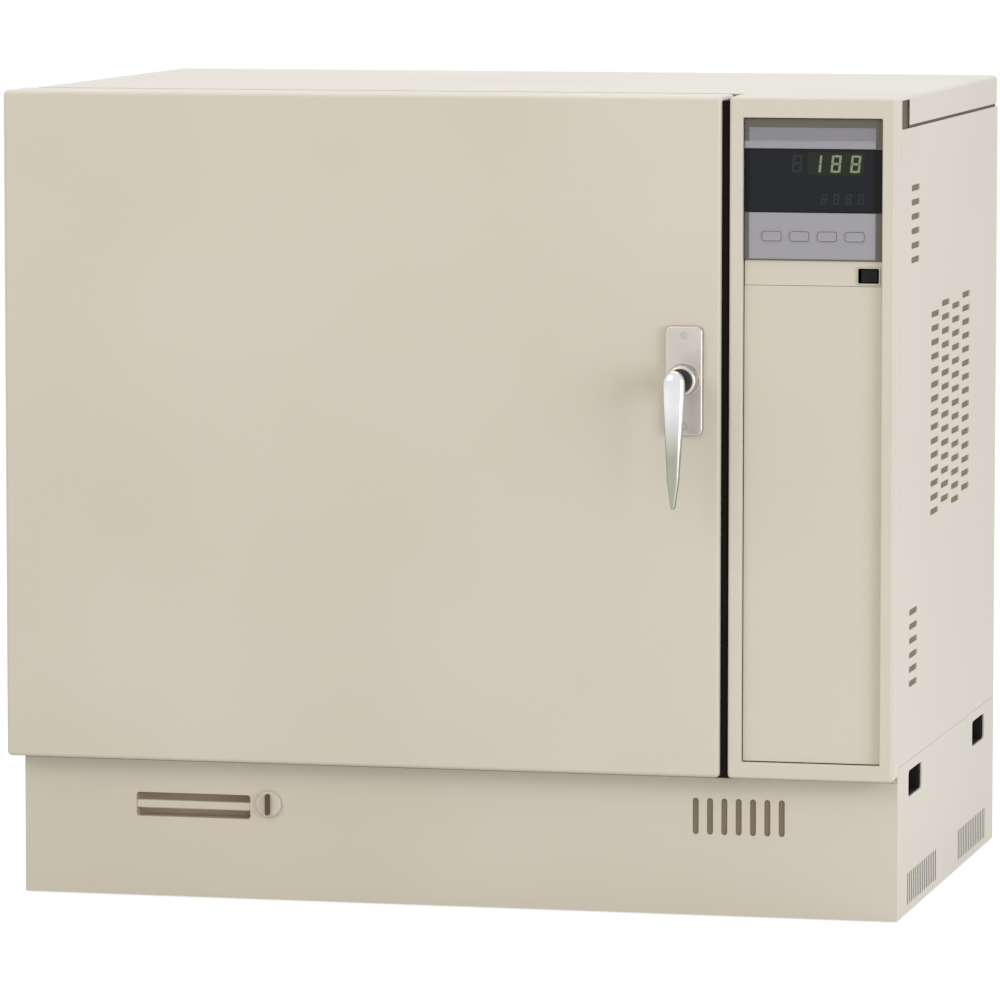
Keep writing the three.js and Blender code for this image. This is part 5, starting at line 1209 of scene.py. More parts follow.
# %% Switch plate and blank plate
GROOVE_HALF, GROOVE_DEEP, GROOVES_DOWN = 0.7, 0.3, (193, 123)
PLATE_EDGE = 0.3
refined("switch_plate", beige_coat, soften=PLATE_EDGE)
low, high = corners("blank_plate")
edge = [(low.y + PLATE_EDGE, low.z), (low.y, low.z + PLATE_EDGE)]
for groove in (high.z - down for down in GROOVES_DOWN):
    edge += [(low.y, groove - GROOVE_HALF), (low.y + GROOVE_DEEP, groove), (low.y, groove + GROOVE_HALF)]
edge += [(low.y, high.z - PLATE_EDGE), (low.y + PLATE_EDGE, high.z), (high.y, high.z), (high.y, low.z)]
shape = loft([across("x", edge, x) for x in (low.x, high.x)])
finish_piece("blank_skin", shape, beige_coat, ["blank_plate"])
print("plates 2")

# %% [markdown]
# ## Handle
#
# The handle is die-cast zinc with chrome over it. The lever is broad and thick over the spindle, narrows
# and thins towards its tip, and both ends are rounded off. A subdivided box would need many loops to
# hold that line, so the lever is lofted through oval sections whose width and thickness follow a rule
# along its length.

# %% Lever
LEVER_SIDES, LEVER_SECTIONS = 32, 36
WIDE_TOP, WIDE_TIP, THICK_TOP, THICK_TIP = 22, 11, 13, 7
TOP_SHARE, TAPER_SHARE, TIP_SHARE = 0.1, 0.22, 0.015
SPINDLE_UP = 54
base_low, base_high = corners("handle_base")
lever_low, lever_high = corners("handle_lever")
spindle_x = (base_low.x + base_high.x) / 2
spindle_z = base_low.z + SPINDLE_UP


def oval(x, y, z, half_wide, half_thick, power=0.86):
    ring = []
    for k in range(LEVER_SIDES):
        turn = 2 * math.pi * k / LEVER_SIDES
        c, s = math.cos(turn), math.sin(turn)
        ring.append(Vector((
            x + half_wide * math.copysign(abs(c) ** power, c),
            y + half_thick * math.copysign(abs(s) ** power, s), z,
        )))
    return ring


def rounded_end(left, share, bite):
    """The part of the full size that near an end, where the last share of the length is rounded off."""
    return math.sqrt(1 - (max(0.0, share - left) / share * bite) ** 2)


rings = []
for k in range(LEVER_SECTIONS + 1):
    along = (1 - math.cos(math.pi * k / LEVER_SECTIONS)) / 2
    ease = along * along * (3 - 2 * along)
    top_round, tip_round = rounded_end(along, TOP_SHARE, 0.985), rounded_end(1 - along, TIP_SHARE, 0.95)
    taper = 1 - 0.62 * (max(0.0, TAPER_SHARE - (1 - along)) / TAPER_SHARE) ** 1.2
    thick = THICK_TOP + (THICK_TIP - THICK_TOP) * ease
    wide = (WIDE_TOP + (WIDE_TIP - WIDE_TOP) * ease) * top_round * taper * tip_round
    z = lever_high.z - (lever_high.z - lever_low.z) * along
    rings.append(oval(
        spindle_x, lever_low.y + thick / 2, z, wide / 2, thick * min(top_round, tip_round) / 2,
    ))
finish_piece("lever_skin", loft(rings), bright_chrome, ["handle_lever"])
neck = base_low.y - 0.3 - lever_low.y
shape = turned("y", (spindle_x, lever_low.y, spindle_z), [
    (8.5, 6), (9.5, 8), (10.5, 12), (11.6, 16), (12, neck - 1.2), (11.4, neck - 0.15), (5.2, neck),
], 40)
# The neck is black plastic, and its black is also painted shade for the shaded neck behind the lever.
finish_piece("lever_neck", shape, black_abs, like="handle_lever")
rod = [(4.9, -6), (4.9, lever_high.y - base_low.y)]
shape = turned("y", (spindle_x, base_low.y, spindle_z), rod, 24)
finish_piece("lever_spindle", shape, zinc_screw, like="handle_lever")
print("lever", round(lever_high.z - lever_low.z))

# %% [markdown]
# ## Handle base
#
# The lever stands on a round boss on a base plate, which two countersunk screws hold to the door. The
# plate's rim is rounded by a stack of rings. Each screw's cross is a pair of blocks cut out of its head,
# because a printed cross would not hold a shadow.

# %% Handle base and its screws
BASE_THICK, BASE_CORNER, SCREW_IN = 6, 6, 9
front = base_high.y - BASE_THICK
shape = loft(box_rings("y", base_low, base_high, [
    (0, base_high.y), (0, front + 2), (0.2, front + 1.2),
    (0.6, front + 0.6), (1.2, front + 0.2), (2, front),
], BASE_CORNER, 0.6, 6))
turned("y", (spindle_x, front, spindle_z), [
    (17, 0.5), (16, -0.4), (15, -1.8), (15, -13.6), (14.5, -14.9), (13.2, -15.8), (11, -16),
], 48, onto=shape)
finish_piece("handle_plate", shape, satin_chrome, ["handle_base"])
for place, z in (("upper", base_high.z - SCREW_IN), ("lower", base_low.z + SCREW_IN)):
    head = turned("y", (spindle_x, front, z), [(4, 0.5), (4, -0.15), (3.5, -0.3)], 28)
    cross = [
        ((spindle_x - wide, front - 1, z - tall), (spindle_x + wide, front + 0.3, z + tall))
        for wide, tall in ((2.4, 0.45), (0.45, 2.4))
    ]
    finish_piece("handle_screw_" + place, carve(head, *cross), zinc_screw, like="handle_base")
print("base", round(base_high.z - base_low.z))

# %% [markdown]
# ## Screws
#
# The sheets are held by pan-head screws with a cross recess. One head is made once, and a Geometry Nodes
# tree stands a copy on every point it is given. Copies placed by hand would have to be moved one by one
# when a sheet changes, and here the points follow the sheet.

# %% One screw head and the tree that repeats it
# A pan head that looks along +Z, in millimetres. It ends just under the sheet it holds.
HEAD_PROFILE = [(3.2, -0.4), (3.2, 0.5), (2.9, 1.3), (2.2, 1.9), (1.2, 2.2)]
HEAD_CROSS = [((-1.7, -0.35, 1), (1.7, 0.35, 3)), ((-0.35, -1.7, 1), (0.35, 1.7, 3))]
FACING = {"back": (-90, 0, 0), "left": (0, -90, 0)}


def copies_tree():
    tree, given = geometry_tree(
        "copies on points", [("Thing", "Object"), ("Turn", "Vector"), ("Finish", "Material")],
    )
    thing = add(tree, "GeometryNodeObjectInfo", {"Object": given["Thing"]}, transform_space="ORIGINAL")
    points = add(tree, "GeometryNodeMeshToPoints", {"Mesh": given["Geometry"]}).outputs[0]
    turn = add(tree, "FunctionNodeEulerToRotation", {"Euler": given["Turn"]}).outputs[0]
    stood = add(tree, "GeometryNodeInstanceOnPoints", {
        "Points": points, "Instance": thing.outputs["Geometry"], "Rotation": turn,
    }).outputs[0]
    return end_tree(tree, stood, given["Finish"])


COPIES = copies_tree()


def screws(name, points, facing, like):
    head = loose_object("head", carve(turned("z", (0, 0, 0), HEAD_PROFILE, 20), *HEAD_CROSS))
    spots = bmesh.new()
    for point in points:
        spots.verts.new(point)
    obj = loose_object(name, spots)
    turn = tuple(math.radians(angle) for angle in FACING[facing])
    run_tree(obj, COPIES, {"Thing": head, "Turn": turn, "Finish": zinc_screw})
    return finish_piece(name, shape_of(obj, head), zinc_screw, like=like)


def row(start, end, count):
    start, end = Vector(start), Vector(end)
    return [start.lerp(end, k / (count - 1)) for k in range(count)]


SIDE_IN, END_IN, FOOT_IN, FOOT_UP = 7, 12, 150, 8
low, high = corners("back_panel")
screws("back_screws", [
    *row((low.x + SIDE_IN, high.y, low.z + END_IN), (low.x + SIDE_IN, high.y, high.z - END_IN), 6),
    *row((high.x - SIDE_IN, high.y, low.z + END_IN), (high.x - SIDE_IN, high.y, high.z - END_IN), 6),
    *row((low.x + FOOT_IN, high.y, low.z + FOOT_UP), (high.x - FOOT_IN, high.y, low.z + FOOT_UP), 4),
], "back", "back_panel")
print("screws", 16)

# %% [markdown]
# ## Back
#
# The back panel has two groups of long slots behind the equipment compartment, and a turning plate with
# four holes sets how much air leaves the chamber. Both are punched by the same trees as the sides. The
# plate's holes lie at 45 degrees to the panel's, so the plate closes them at rest and opens them when it
# turns.

# %% Back panel and damper
HOLE_RING, HOLE_WIDE = 20, 18
BACK_SLOTS, BACK_SLOT_PITCH, BACK_SLOT_LONG, BACK_SLOT_HIGH, BACK_GROUP_OFF = 7, 16, 60, 6, 170
GLAND_HOLE = 22
DAMPER_THICK = 2.5
low, high = corners("back_panel")
damper, gland = centre_of("exhaust_damper"), centre_of("cord_gland")
compartment_x = (column_low.x + column_high.x) / 2
out = high.y + 0.3
exhaust = [
    slots(2, 1, 2 * HOLE_RING, 0, (damper.x, damper.z), HOLE_WIDE, HOLE_WIDE),
    slots(1, 2, 0, 2 * HOLE_RING, (damper.x, damper.z), HOLE_WIDE, HOLE_WIDE),
]
vents = [
    slots(1, BACK_SLOTS, 0, BACK_SLOT_PITCH, (compartment_x, fan_middle.z + off),
          BACK_SLOT_LONG, BACK_SLOT_HIGH)
    for off in (-BACK_GROUP_OFF, BACK_GROUP_OFF)
]
shape = punched_sheet(
    [outline_of("back_panel", "y")], [*vents, *exhaust, hole((gland.x, gland.z), GLAND_HOLE)],
    SKIN, "y", high.y - SKIN, beige_coat,
)
back = finish_piece("back_skin", shape, beige_coat, ["back_panel"])

low, high = corners("exhaust_damper")
diagonal = HOLE_RING * math.sqrt(0.5)
shape = punched_sheet([round_ring(damper.x, damper.z, (high.x - low.x) / 2, 64)], [
    slots(2, 1, 2 * diagonal, 0, (damper.x, z), HOLE_WIDE, HOLE_WIDE)
    for z in (damper.z - diagonal, damper.z + diagonal)
], DAMPER_THICK, "y", out, stainless_across)
loft(box_rings("y", *around(damper, 22, 7), [
    (0, out + 2.2), (0, high.y - 1.5), (0.5, high.y - 0.4), (1.4, high.y),
], 3.2, 0), onto=shape)
turned("y", (damper.x, low.y, damper.z), [(3, 0), (3, out + 1 - low.y)], 16, onto=shape)
finish_piece("damper_plate", shape, stainless_across, ["exhaust_damper"])
print("back faces", len(back.data.polygons))

# %% [markdown]
# ## Cord gland
#
# A nylon gland takes the mains lead. Its hexagon is six-sided lathe work. The ribs of its nut could be
# bump, but they break the outline, so the nut's rings ripple. The bore is drilled with a cutter and
# stays open.

# %% Cord gland
HEX, NUT, STEM, BORE = 13, 11, 10.4, 5
GLAND_SIDES, RIBS, RIB_DEEP = 96, 24, 0.35
low, high = corners("cord_gland")
ribbed = []
for radius, y in [(NUT, 8), (NUT, 17.6), (NUT - 0.8, 19.4), (NUT * 0.72, 22)]:
    ring = []
    for k in range(GLAND_SIDES):
        turn = 2 * math.pi * k / GLAND_SIDES
        ripple = RIB_DEEP * (0.5 - 0.5 * math.cos(RIBS * turn)) if y < 19 else 0
        ring.append(
            (gland.x + (radius - ripple) * math.cos(turn), gland.z + (radius - ripple) * math.sin(turn)),
        )
    ribbed.append(across("y", ring, out + y))
inside = [
    across("y", round_ring(gland.x, gland.z, radius, GLAND_SIDES), y)
    for radius, y in [(BORE, out + 22), (BORE, low.y), (STEM, low.y), (STEM, out + 8)]
]
shape = loft(ribbed + inside, wrap=True)
turned("y", (gland.x, out, gland.z), [
    (STEM, 0.1), (HEX - 0.8, 0), (HEX, 0.6), (HEX, 7.4), (HEX - 0.8, 8),
], 6, onto=shape)
drill = turned("y", (gland.x, low.y - 2, gland.z), [(BORE, 0), (BORE, 50)], 32)
finish_piece("gland_body", carve(shape, drill), black_abs, ["cord_gland"])
print("gland", round(high.y - low.y))

# %% [markdown]
# ## Underside
#
# The base is a galvanised tray on four feet. Each foot is a moulded pad on a threaded stud with a lock
# nut, all turned about one axis, so lathe work gives it, with six sides for the nut. The tray and the
# deck are folded boxes, and the engineering shapes only need their edges broken.

# %% Feet, tray and deck
for place in ("front_left", "front_right", "rear_left", "rear_right"):
    low, high = corners("foot_" + place)
    centre = ((low.x + high.x) / 2, (low.y + high.y) / 2, low.z)
    shape = turned("z", centre, [
        (14, 0), (17.2, 0), (18, 0.8), (18, 2.4), (17.3, 3.6),
        (15.6, 4.6), (9, 5), (8, 5.2), (8, 5.4), (5, 5.6),
        (5, 11.7),
    ], 40)
    turned("z", centre, [(8.6, 7.2), (9.4, 7.7), (9.4, 11), (8.6, 11.6)], 6, onto=shape)
    finish_piece("foot_pad_" + place, shape, foot_rubber, ["foot_" + place])
refined("base_pan", zinc_sheet, soften=0.4)
refined("deck_plate", zinc_sheet, soften=0.4)
print("feet 4")

# %% [markdown]
# ## Hinges
#
# Lift-off hinges join the door to the cabinet outside both. The knuckles are turned and the leaves are
# flat bar, so the engineering shapes only need their edges broken, and each leaf has its screws.

# %% Hinges
LEAF_IN, LEAF_END = 8, 9
for place in ("upper", "lower"):
    door_leaf, body_leaf = "door_hinge_leaf_" + place, "cabinet_hinge_leaf_" + place
    refined(door_leaf, satin_steel, soften=0.5)
    refined(body_leaf, satin_steel, soften=0.5)
    low, high = corners(body_leaf)
    x, y = high.x - 2.5, high.y - LEAF_IN
    screws("body_leaf_screws_" + place,
           [(x, y, low.z + LEAF_END), (x, y, high.z - LEAF_END)], "left", body_leaf)
    low, high = corners(door_leaf)
    x, y = door_low.x - 2.8, low.y + LEAF_IN
    screws("door_leaf_screws_" + place,
           [(x, y, low.z + LEAF_END), (x, y, high.z - LEAF_END)], "left", door_leaf)
print("hinges 2")

# %% [markdown]
# ## Door, seen from inside
#
# The door is filled with mineral wool and closed by a stainless panel. The panel has a shallow pan
# pressed into it, which stiffens it and faces the chamber's mouth. The sheet is punched with the pan's
# outline left open, and the pan is lofted into that opening, so the two share one edge as a pressing
# does.

# %% Inner panel
PAN_INSET, PAN_CORNER, PAN_EDGE, PAN_STEPS = 20, 20, 2.4, 8
PANEL_SHEET, LINER = 1.2, 1.2
chamber_low, chamber_high = corners("chamber_wrap")
baffle_low, baffle_high = corners("air_baffle")
mouth_left, mouth_right = chamber_low.x + LINER, baffle_low.x
mouth_low, mouth_high = chamber_low.z + LINER, chamber_high.z - LINER
mouth_middle = ((mouth_left + mouth_right) / 2, (mouth_low + mouth_high) / 2)
low, high = corners("door_inner_panel")


def pan_outline(inset):
    grow = PAN_INSET + inset
    return rect_ring(
        mouth_left + grow, mouth_right - grow, mouth_low + grow,
        mouth_high - grow, PAN_CORNER - inset, PAN_STEPS,
    )


shape = punched_sheet(
    [outline_of("door_inner_panel", "y"), pan_outline(0)], [hole((spindle_x, spindle_z), 11)],
    PANEL_SHEET, "y", low.y, stainless_sheet,
)
pressed = [(0, low.y), (0, high.y - PAN_EDGE)]
pressed += [(inset, high.y - depth) for inset, depth in reversed(quarter(PAN_EDGE))]
loft([across("y", pan_outline(inset), y) for inset, y in pressed], onto=shape)
finish_piece("door_panel", shape, stainless_sheet, ["door_inner_panel"])
y = low.y + PANEL_SHEET
screws("door_panel_screws", [
    *row((low.x + END_IN, y, low.z + END_IN), (low.x + END_IN, y, high.z - END_IN), 5),
    *row((high.x - END_IN, y, low.z + END_IN), (high.x - END_IN, y, high.z - END_IN), 5),
    *row((low.x + FOOT_IN, y, high.z - END_IN), (high.x - FOOT_IN, y, high.z - END_IN), 4),
    *row((low.x + FOOT_IN, y, low.z + END_IN), (high.x - FOOT_IN, y, low.z + END_IN), 4),
], "back", "door_inner_panel")
print("pan", round(mouth_right - mouth_left - 2 * PAN_INSET), "wide")

# %% [markdown]
# ## Gasket
#
# A flat rope braided from glass fibre is stapled round the pan and seals against the front frame. Bump
# alone would leave its edge smooth, so an oval section is swept round a rounded rectangle, and two waves
# that run opposite ways round the section raise the crossing strands.

# %% Gasket
ROPE_SIDES, ROPE_STEPS_A_SIDE = 24, 90
ROPE_WIDE, ROPE_BEND = 16, 22
STRANDS, STRAND_RISE, STRAND_STEP = 8, 0.35, 1.3
low, high = corners("door_gasket")
rope_deep = high.y - low.y
inset = ROPE_WIDE / 2
centre_ring = rect_ring(low.x + inset, high.x - inset, low.z + inset, high.z - inset, ROPE_BEND, 14)
path = []
for one, two in zip(centre_ring, centre_ring[1:] + centre_ring[:1]):
    pieces = max(1, round(math.dist(one, two) * ROPE_STEPS_A_SIDE / (high.z - low.z)))
    for k in range(pieces):
        x, z = (a + (b - a) * k / pieces for a, b in zip(one, two))
        path.append(Vector((x, low.y + rope_deep / 2, z)))


def rope_section(k):
    ring = []
    for i in range(ROPE_SIDES):
        turn = 2 * math.pi * i / ROPE_SIDES
        weave = math.cos(STRANDS * turn + STRAND_STEP * k) * math.cos(STRANDS * turn - STRAND_STEP * k)
        grow = 1 + STRAND_RISE / rope_deep * (weave - 1)
        ring.append((ROPE_WIDE / 2 * grow * math.cos(turn), rope_deep / 2 * grow * math.sin(turn)))
    return ring


shape = sweep(path, [Vector((0, 1, 0))] * len(path), rope_section, closed=True)
rope = finish_piece("gasket_rope", shape, glass_rope, ["door_gasket"])
refined("door_insulation", mineral_wool, soften=3, steps=3)
refined("latch_cam", cast_aluminium, soften=0.8, steps=3)
print("gasket faces", len(rope.data.polygons))

# %% [markdown]
# ## Chamber
#
# The chamber is stainless throughout. One sheet is folded round the floor, the left wall and the
# ceiling, over a 6 mm radius, so that spills wipe out of the corners. Thickening a folded surface would
# do as well, but lofting the section between its two sides keeps the sheet's thickness exact in the
# bends.

# %% Front frame and folded liner
BEND, BEND_STEPS = 6, 6
LATCH_HOLE = 38
low, high = corners("front_frame")
shape = punched_sheet([outline_of("front_frame", "y")], [
    field(1, 1, 0, 0, mouth_middle, mouth_right - mouth_left, mouth_high - mouth_low, 0.5),
    hole((spindle_x, spindle_z), LATCH_HOLE),
], SKIN, "y", low.y, stainless_across)
finish_piece("frame_plate", shape, stainless_across, ["front_frame"])
low, high = corners("chamber_wrap")


def folded_path(inset):
    """The liner's section in (x, z), from the floor's right end round to the ceiling's, at an inset."""
    radius = BEND + LINER - inset
    left, floor, ceiling = low.x + inset, low.z + inset, high.z - inset
    found = [(high.x, floor)]
    for z, start in ((floor + radius, 270), (ceiling - radius, 180)):
        for k in range(BEND_STEPS + 1):
            angle = math.radians(start - 90 * k / BEND_STEPS)
            found.append((left + radius + radius * math.cos(angle), z + radius * math.sin(angle)))
    return found + [(high.x, ceiling)]


shape = loft([
    [Vector((inner[0], low.y, inner[1])), Vector((inner[0], high.y, inner[1])),
     Vector((outer[0], high.y, outer[1])), Vector((outer[0], low.y, outer[1]))]
    for inner, outer in zip(folded_path(LINER), folded_path(0))
])
finish_piece("liner_fold", shape, stainless_across, ["chamber_wrap"])
print("liner", round(high.z - low.z), "high")

# %% [markdown]
# ## Chamber walls
#
# The walls are flat sheets with holes for the shaft, the heater's ends, the probe and the exhaust. The
# baffle at the right is punched with two bands of slots, where hot air comes out, and a round inlet of
# slots in front of the fan. All come from the same two trees, because they are all made on the same
# punch.

# %% Walls and baffle
RING_RADIUS, LEAD_HALF = 128, 24
SHAFT_HOLE, LEAD_HOLE, PROBE_HOLE = 24, 8.6, 6.6
AIR_LONG, AIR_HIGH, AIR_PITCH, AIR_ROWS, AIR_INSET = 60, 7, 36, 11, 62
INLET_PITCH, INLET_ROWS, INLET_REACH = 18, 9, 90
fan_y, fan_z = fan_middle.y, fan_middle.z
lead_z = fan_z - math.sqrt(RING_RADIUS ** 2 - LEAD_HALF ** 2)
probe = centre_of("temperature_probe")
probe_hole = hole((probe.y, probe.z), PROBE_HOLE)
services = [
    hole((fan_y, fan_z), SHAFT_HOLE),
    slots(2, 1, 2 * LEAD_HALF, 0, (fan_y, lead_z), LEAD_HOLE, LEAD_HOLE), probe_hole,
]


def flat_wall(name, node, axis, fields, finish):
    """A punched sheet that fills a node's box."""
    low, high = corners(node)
    k = "xyz".index(axis)
    shape = punched_sheet([outline_of(node, axis)], fields, high[k] - low[k], axis, low[k], finish)
    return finish_piece(name, shape, finish, [node])


flat_wall("duct_wall", "chamber_right_wall", "x", services, stainless_sheet)
flat_wall("compartment_sheet", "compartment_wall", "x", services, zinc_sheet)
flat_wall("back_liner", "chamber_back_wall", "y", exhaust, stainless_sheet)
fields = [
    slots(1, AIR_ROWS, 0, AIR_PITCH, (y, fan_z), AIR_LONG, AIR_HIGH)
    for y in (baffle_low.y + AIR_INSET, baffle_high.y - AIR_INSET)
]
for k in range(INLET_ROWS):
    up = (k - (INLET_ROWS - 1) / 2) * INLET_PITCH
    fields.append(
        slots(1, 1, 0, 0, (fan_y, fan_z + up), 2 * math.sqrt(INLET_REACH ** 2 - up ** 2), AIR_HIGH),
    )
baffle = flat_wall("baffle_sheet", "air_baffle", "x", [*fields, probe_hole], stainless_across)
refined("insulation_jacket", mineral_wool, soften=2.5, steps=3)
print("baffle faces", len(baffle.data.polygons))

# %% [markdown]
# ## Shelves
#
# Each shelf is a rod frame with thinner wires welded across it, bright from electropolishing. The frame
# is one rod bent round and the wires come from a Geometry Nodes tree that lays the same rod at a pitch.
# The shelves rest on angle brackets that hang between two posts on each wall.

# %% Wire shelves and rails
ROD_RADIUS, WIRE_RADIUS, WIRE_COUNT, FRAME_BEND = 3, 2, 12, 9
ROD_SIDES = 12


def rods_tree():
    tree, given = geometry_tree("row of rods", [
        ("Count", "Int"), ("First", "Vector"), ("Pitch", "Float"), ("Length", "Float"), ("Radius", "Float"),
        ("Finish", "Material"),
    ])
    step = add(tree, "ShaderNodeCombineXYZ", {"X": given["Pitch"]}).outputs[0]
    line = add(tree, "GeometryNodeMeshLine", {
        "Count": given["Count"], "Start Location": given["First"], "Offset": step,
    }).outputs[0]
    along = add(tree, "ShaderNodeCombineXYZ", {"Y": given["Length"]}).outputs[0]
    wire = add(tree, "GeometryNodeCurvePrimitiveLine", {"End": along}).outputs[0]
    circle = add(
        tree, "GeometryNodeCurvePrimitiveCircle", {"Resolution": ROD_SIDES, "Radius": given["Radius"]},
    )
    rod = add(tree, "GeometryNodeCurveToMesh", {
        "Curve": wire, "Profile Curve": circle.outputs[0], "Fill Caps": True,
    }).outputs[0]
    laid = add(tree, "GeometryNodeInstanceOnPoints", {"Points": line, "Instance": rod}).outputs[0]
    return end_tree(tree, laid, given["Finish"])


RODS = rods_tree()


def shelf(node):
    low, high = corners(node)
    z = (low.z + high.z) / 2
    left, right = low.x + ROD_RADIUS, high.x - ROD_RADIUS
    front, back = low.y + ROD_RADIUS, high.y - ROD_RADIUS
    pitch = (right - left) / (WIRE_COUNT + 1)
    obj = loose_object("wires", bmesh.new())
    run_tree(obj, RODS, {
        "Count": WIRE_COUNT, "First": (left + pitch, front, z + WIRE_RADIUS / 2), "Pitch": float(pitch),
        "Length": float(back - front), "Radius": float(WIRE_RADIUS), "Finish": satin_steel,
    })
    shape = shape_of(obj)
    path = across("z", rect_ring(left, right, front, back, FRAME_BEND, 6), z)
    circle = round_ring(0, 0, ROD_RADIUS, ROD_SIDES)
    sweep(path, [Vector((0, 0, 1))] * len(path), lambda k: circle, closed=True, onto=shape)
    turned("x", (left, (front + back) / 2, z),
           [(ROD_RADIUS, 0), (ROD_RADIUS, right - left)], ROD_SIDES, onto=shape)
    finish_piece("wire_" + node, shape, satin_steel, [node])


for level in ("lower", "upper"):
    shelf("shelf_" + level)
for side in ("left", "right"):
    refined("shelf_rail_" + side, stainless_sheet, soften=0.4)
print("shelves 2")

# %% [markdown]
# ## Fan, motor and heater
#
# The fan is a drum wheel of curved blades between a disc and a ring, folded from galvanised sheet. The
# motor has a die-cast body with cooling fins and stands on a bolted flange. Both repeat one shape round
# an axis, so one Geometry Nodes tree turns copies of it, and the number of blades or fins is a single
# value.

# %% Copies round an axis
def turned_copies_tree():
    tree, given = geometry_tree("copies round an axis", [
        ("Thing", "Object"), ("Count", "Int"), ("Finish", "Material"),
    ])
    thing = add(tree, "GeometryNodeObjectInfo", {"Object": given["Thing"]}, transform_space="ORIGINAL")
    points = add(tree, "GeometryNodePoints", {"Count": given["Count"]}).outputs[0]
    index = add(tree, "GeometryNodeInputIndex").outputs[0]
    share = add(tree, "ShaderNodeMath", {0: index, 1: given["Count"]}, operation="DIVIDE").outputs[0]
    round_z = add(tree, "ShaderNodeMath", {0: share, 1: 2 * math.pi}, operation="MULTIPLY").outputs[0]
    angle = add(tree, "ShaderNodeCombineXYZ", {"Z": round_z}).outputs[0]
    turn = add(tree, "FunctionNodeEulerToRotation", {"Euler": angle}).outputs[0]
    stood = add(tree, "GeometryNodeInstanceOnPoints", {
        "Points": points, "Instance": thing.outputs["Geometry"], "Rotation": turn,
    }).outputs[0]
    return end_tree(tree, stood, given["Finish"])


TURNED_COPIES = turned_copies_tree()
print("tree", TURNED_COPIES.name)


def add_round(shape, thing, count, finish):
    """Adds copies of a shape drawn about +Z, turned to run about +X through the fan's axis."""
    source = loose_object("source", thing)
    obj = loose_object("copies", bmesh.new())
    run_tree(obj, TURNED_COPIES, {"Thing": source, "Count": count, "Finish": finish})
    before = len(shape.verts)
    shape.from_mesh(evaluated_mesh(obj))
    shape.verts.ensure_lookup_table()
    for vert in shape.verts[before:]:
        u, v, w = vert.co
        vert.co = standing("x", fan_y + u, fan_z + v, w)
    bpy.data.objects.remove(obj)
    bpy.data.objects.remove(source)
    return shape


# %% [markdown]
# ## Fan wheel
#
# A blade is an arc of sheet, drawn once and copied round the hub. The hub, the disc and the ring are
# turned.

# %% Fan wheel and shaft
BLADES, BLADE_DEEP, BLADE_SHEET, BLADE_CURVE, BLADE_STEPS = 20, 18, 1.6, 16, 8
WHEEL_PLATE, WHEEL_RING, HUB_RADIUS, HUB_LONG, BORE_RADIUS = 2, 6, 15, 22, 7.3
FAN_SIDES = 64
low, high = corners("fan_wheel")
wheel_radius, wheel_long = (high.z - low.z) / 2, high.x - low.x
half = math.asin(BLADE_DEEP / 2 / BLADE_CURVE)
section = []
for grow, start, end in ((BLADE_SHEET / 2, -half, half), (-BLADE_SHEET / 2, half, -half)):
    for k in range(BLADE_STEPS + 1):
        angle = start + (end - start) * k / BLADE_STEPS
        radius = BLADE_CURVE + grow
        section.append((
            wheel_radius - BLADE_DEEP / 2 + radius * math.sin(angle),
            radius * math.cos(angle) - BLADE_CURVE * math.cos(half),
        ))
blade = loft([across("z", section, x) for x in (low.x + WHEEL_PLATE / 2, high.x - WHEEL_PLATE / 2)])
hub_end, plate_at = wheel_long - HUB_LONG, wheel_long - WHEEL_PLATE
shape = turned("x", (low.x, fan_y, fan_z), [
    (BORE_RADIUS, hub_end), (HUB_RADIUS - 1, hub_end),
    (HUB_RADIUS, hub_end + 1), (HUB_RADIUS, plate_at - 3),
    (HUB_RADIUS + 3, plate_at), (wheel_radius, plate_at),
    (wheel_radius, wheel_long), (BORE_RADIUS, wheel_long),
    (BORE_RADIUS, hub_end),
], FAN_SIDES)
ring_inner = wheel_radius - WHEEL_RING
loft([across("x", round_ring(fan_y, fan_z, radius, FAN_SIDES), low.x + x) for radius, x in [
    (ring_inner, 0), (wheel_radius, 0), (wheel_radius, WHEEL_PLATE), (ring_inner, WHEEL_PLATE),
]], wrap=True, onto=shape)
finish_piece("blade_wheel", add_round(shape, blade, BLADES, zinc_sheet), zinc_sheet, ["fan_wheel"])
low, high = corners("fan_shaft")
length = high.x - low.x
shape = turned("x", (low.x, fan_y, fan_z), [(6, 0), (7, 1), (7, length - 1), (6, length)], 32)
finish_piece("turned_shaft", shape, satin_steel, ["fan_shaft"])
print("wheel", round(2 * wheel_radius), "across")

# %% [markdown]
# ## Motor
#
# The motor's body is turned, with a narrow neck behind its flange. The fins stand on it and thin
# outwards, as a casting needs to leave its die, and four hexagon bolts hold the flange.

# %% Motor
FINS, FIN_RADIUS, BODY_RADIUS = 14, 56, 50
FLANGE_RADIUS, FLANGE_BOLTS = 68, 4
low, high = corners("fan_motor")
length = high.x - low.x
shape = turned("x", (low.x, fan_y, fan_z), [
    (BORE_RADIUS, 12), (BORE_RADIUS, 0), (FLANGE_RADIUS - 1, 0), (FLANGE_RADIUS, 1), (FLANGE_RADIUS, 5),
    (FLANGE_RADIUS - 1, 6), (38, 6), (36, 7.5), (36, 9),
    (47, 12.5), (BODY_RADIUS, 16), (BODY_RADIUS, length - 14),
    (47, length - 8), (38, length - 2), (28, length - 0.4), (12, length),
], FAN_SIDES)
fin = loft([
    across("x", rect_ring(-0.9, 0.9, low.x + 22, high.x - 20, 0.6, 2), BODY_RADIUS - 3),
    across("x", rect_ring(-0.6, 0.6, low.x + 24, high.x - 22, 0.5, 2), FIN_RADIUS),
])
add_round(shape, fin, FINS, cast_aluminium)
bolt = turned("z", (FLANGE_RADIUS - 9, 0, low.x), [(5, 5.5), (5, 9.5), (4.3, 10.2)], 6)
add_round(shape, bolt, FLANGE_BOLTS, cast_aluminium)
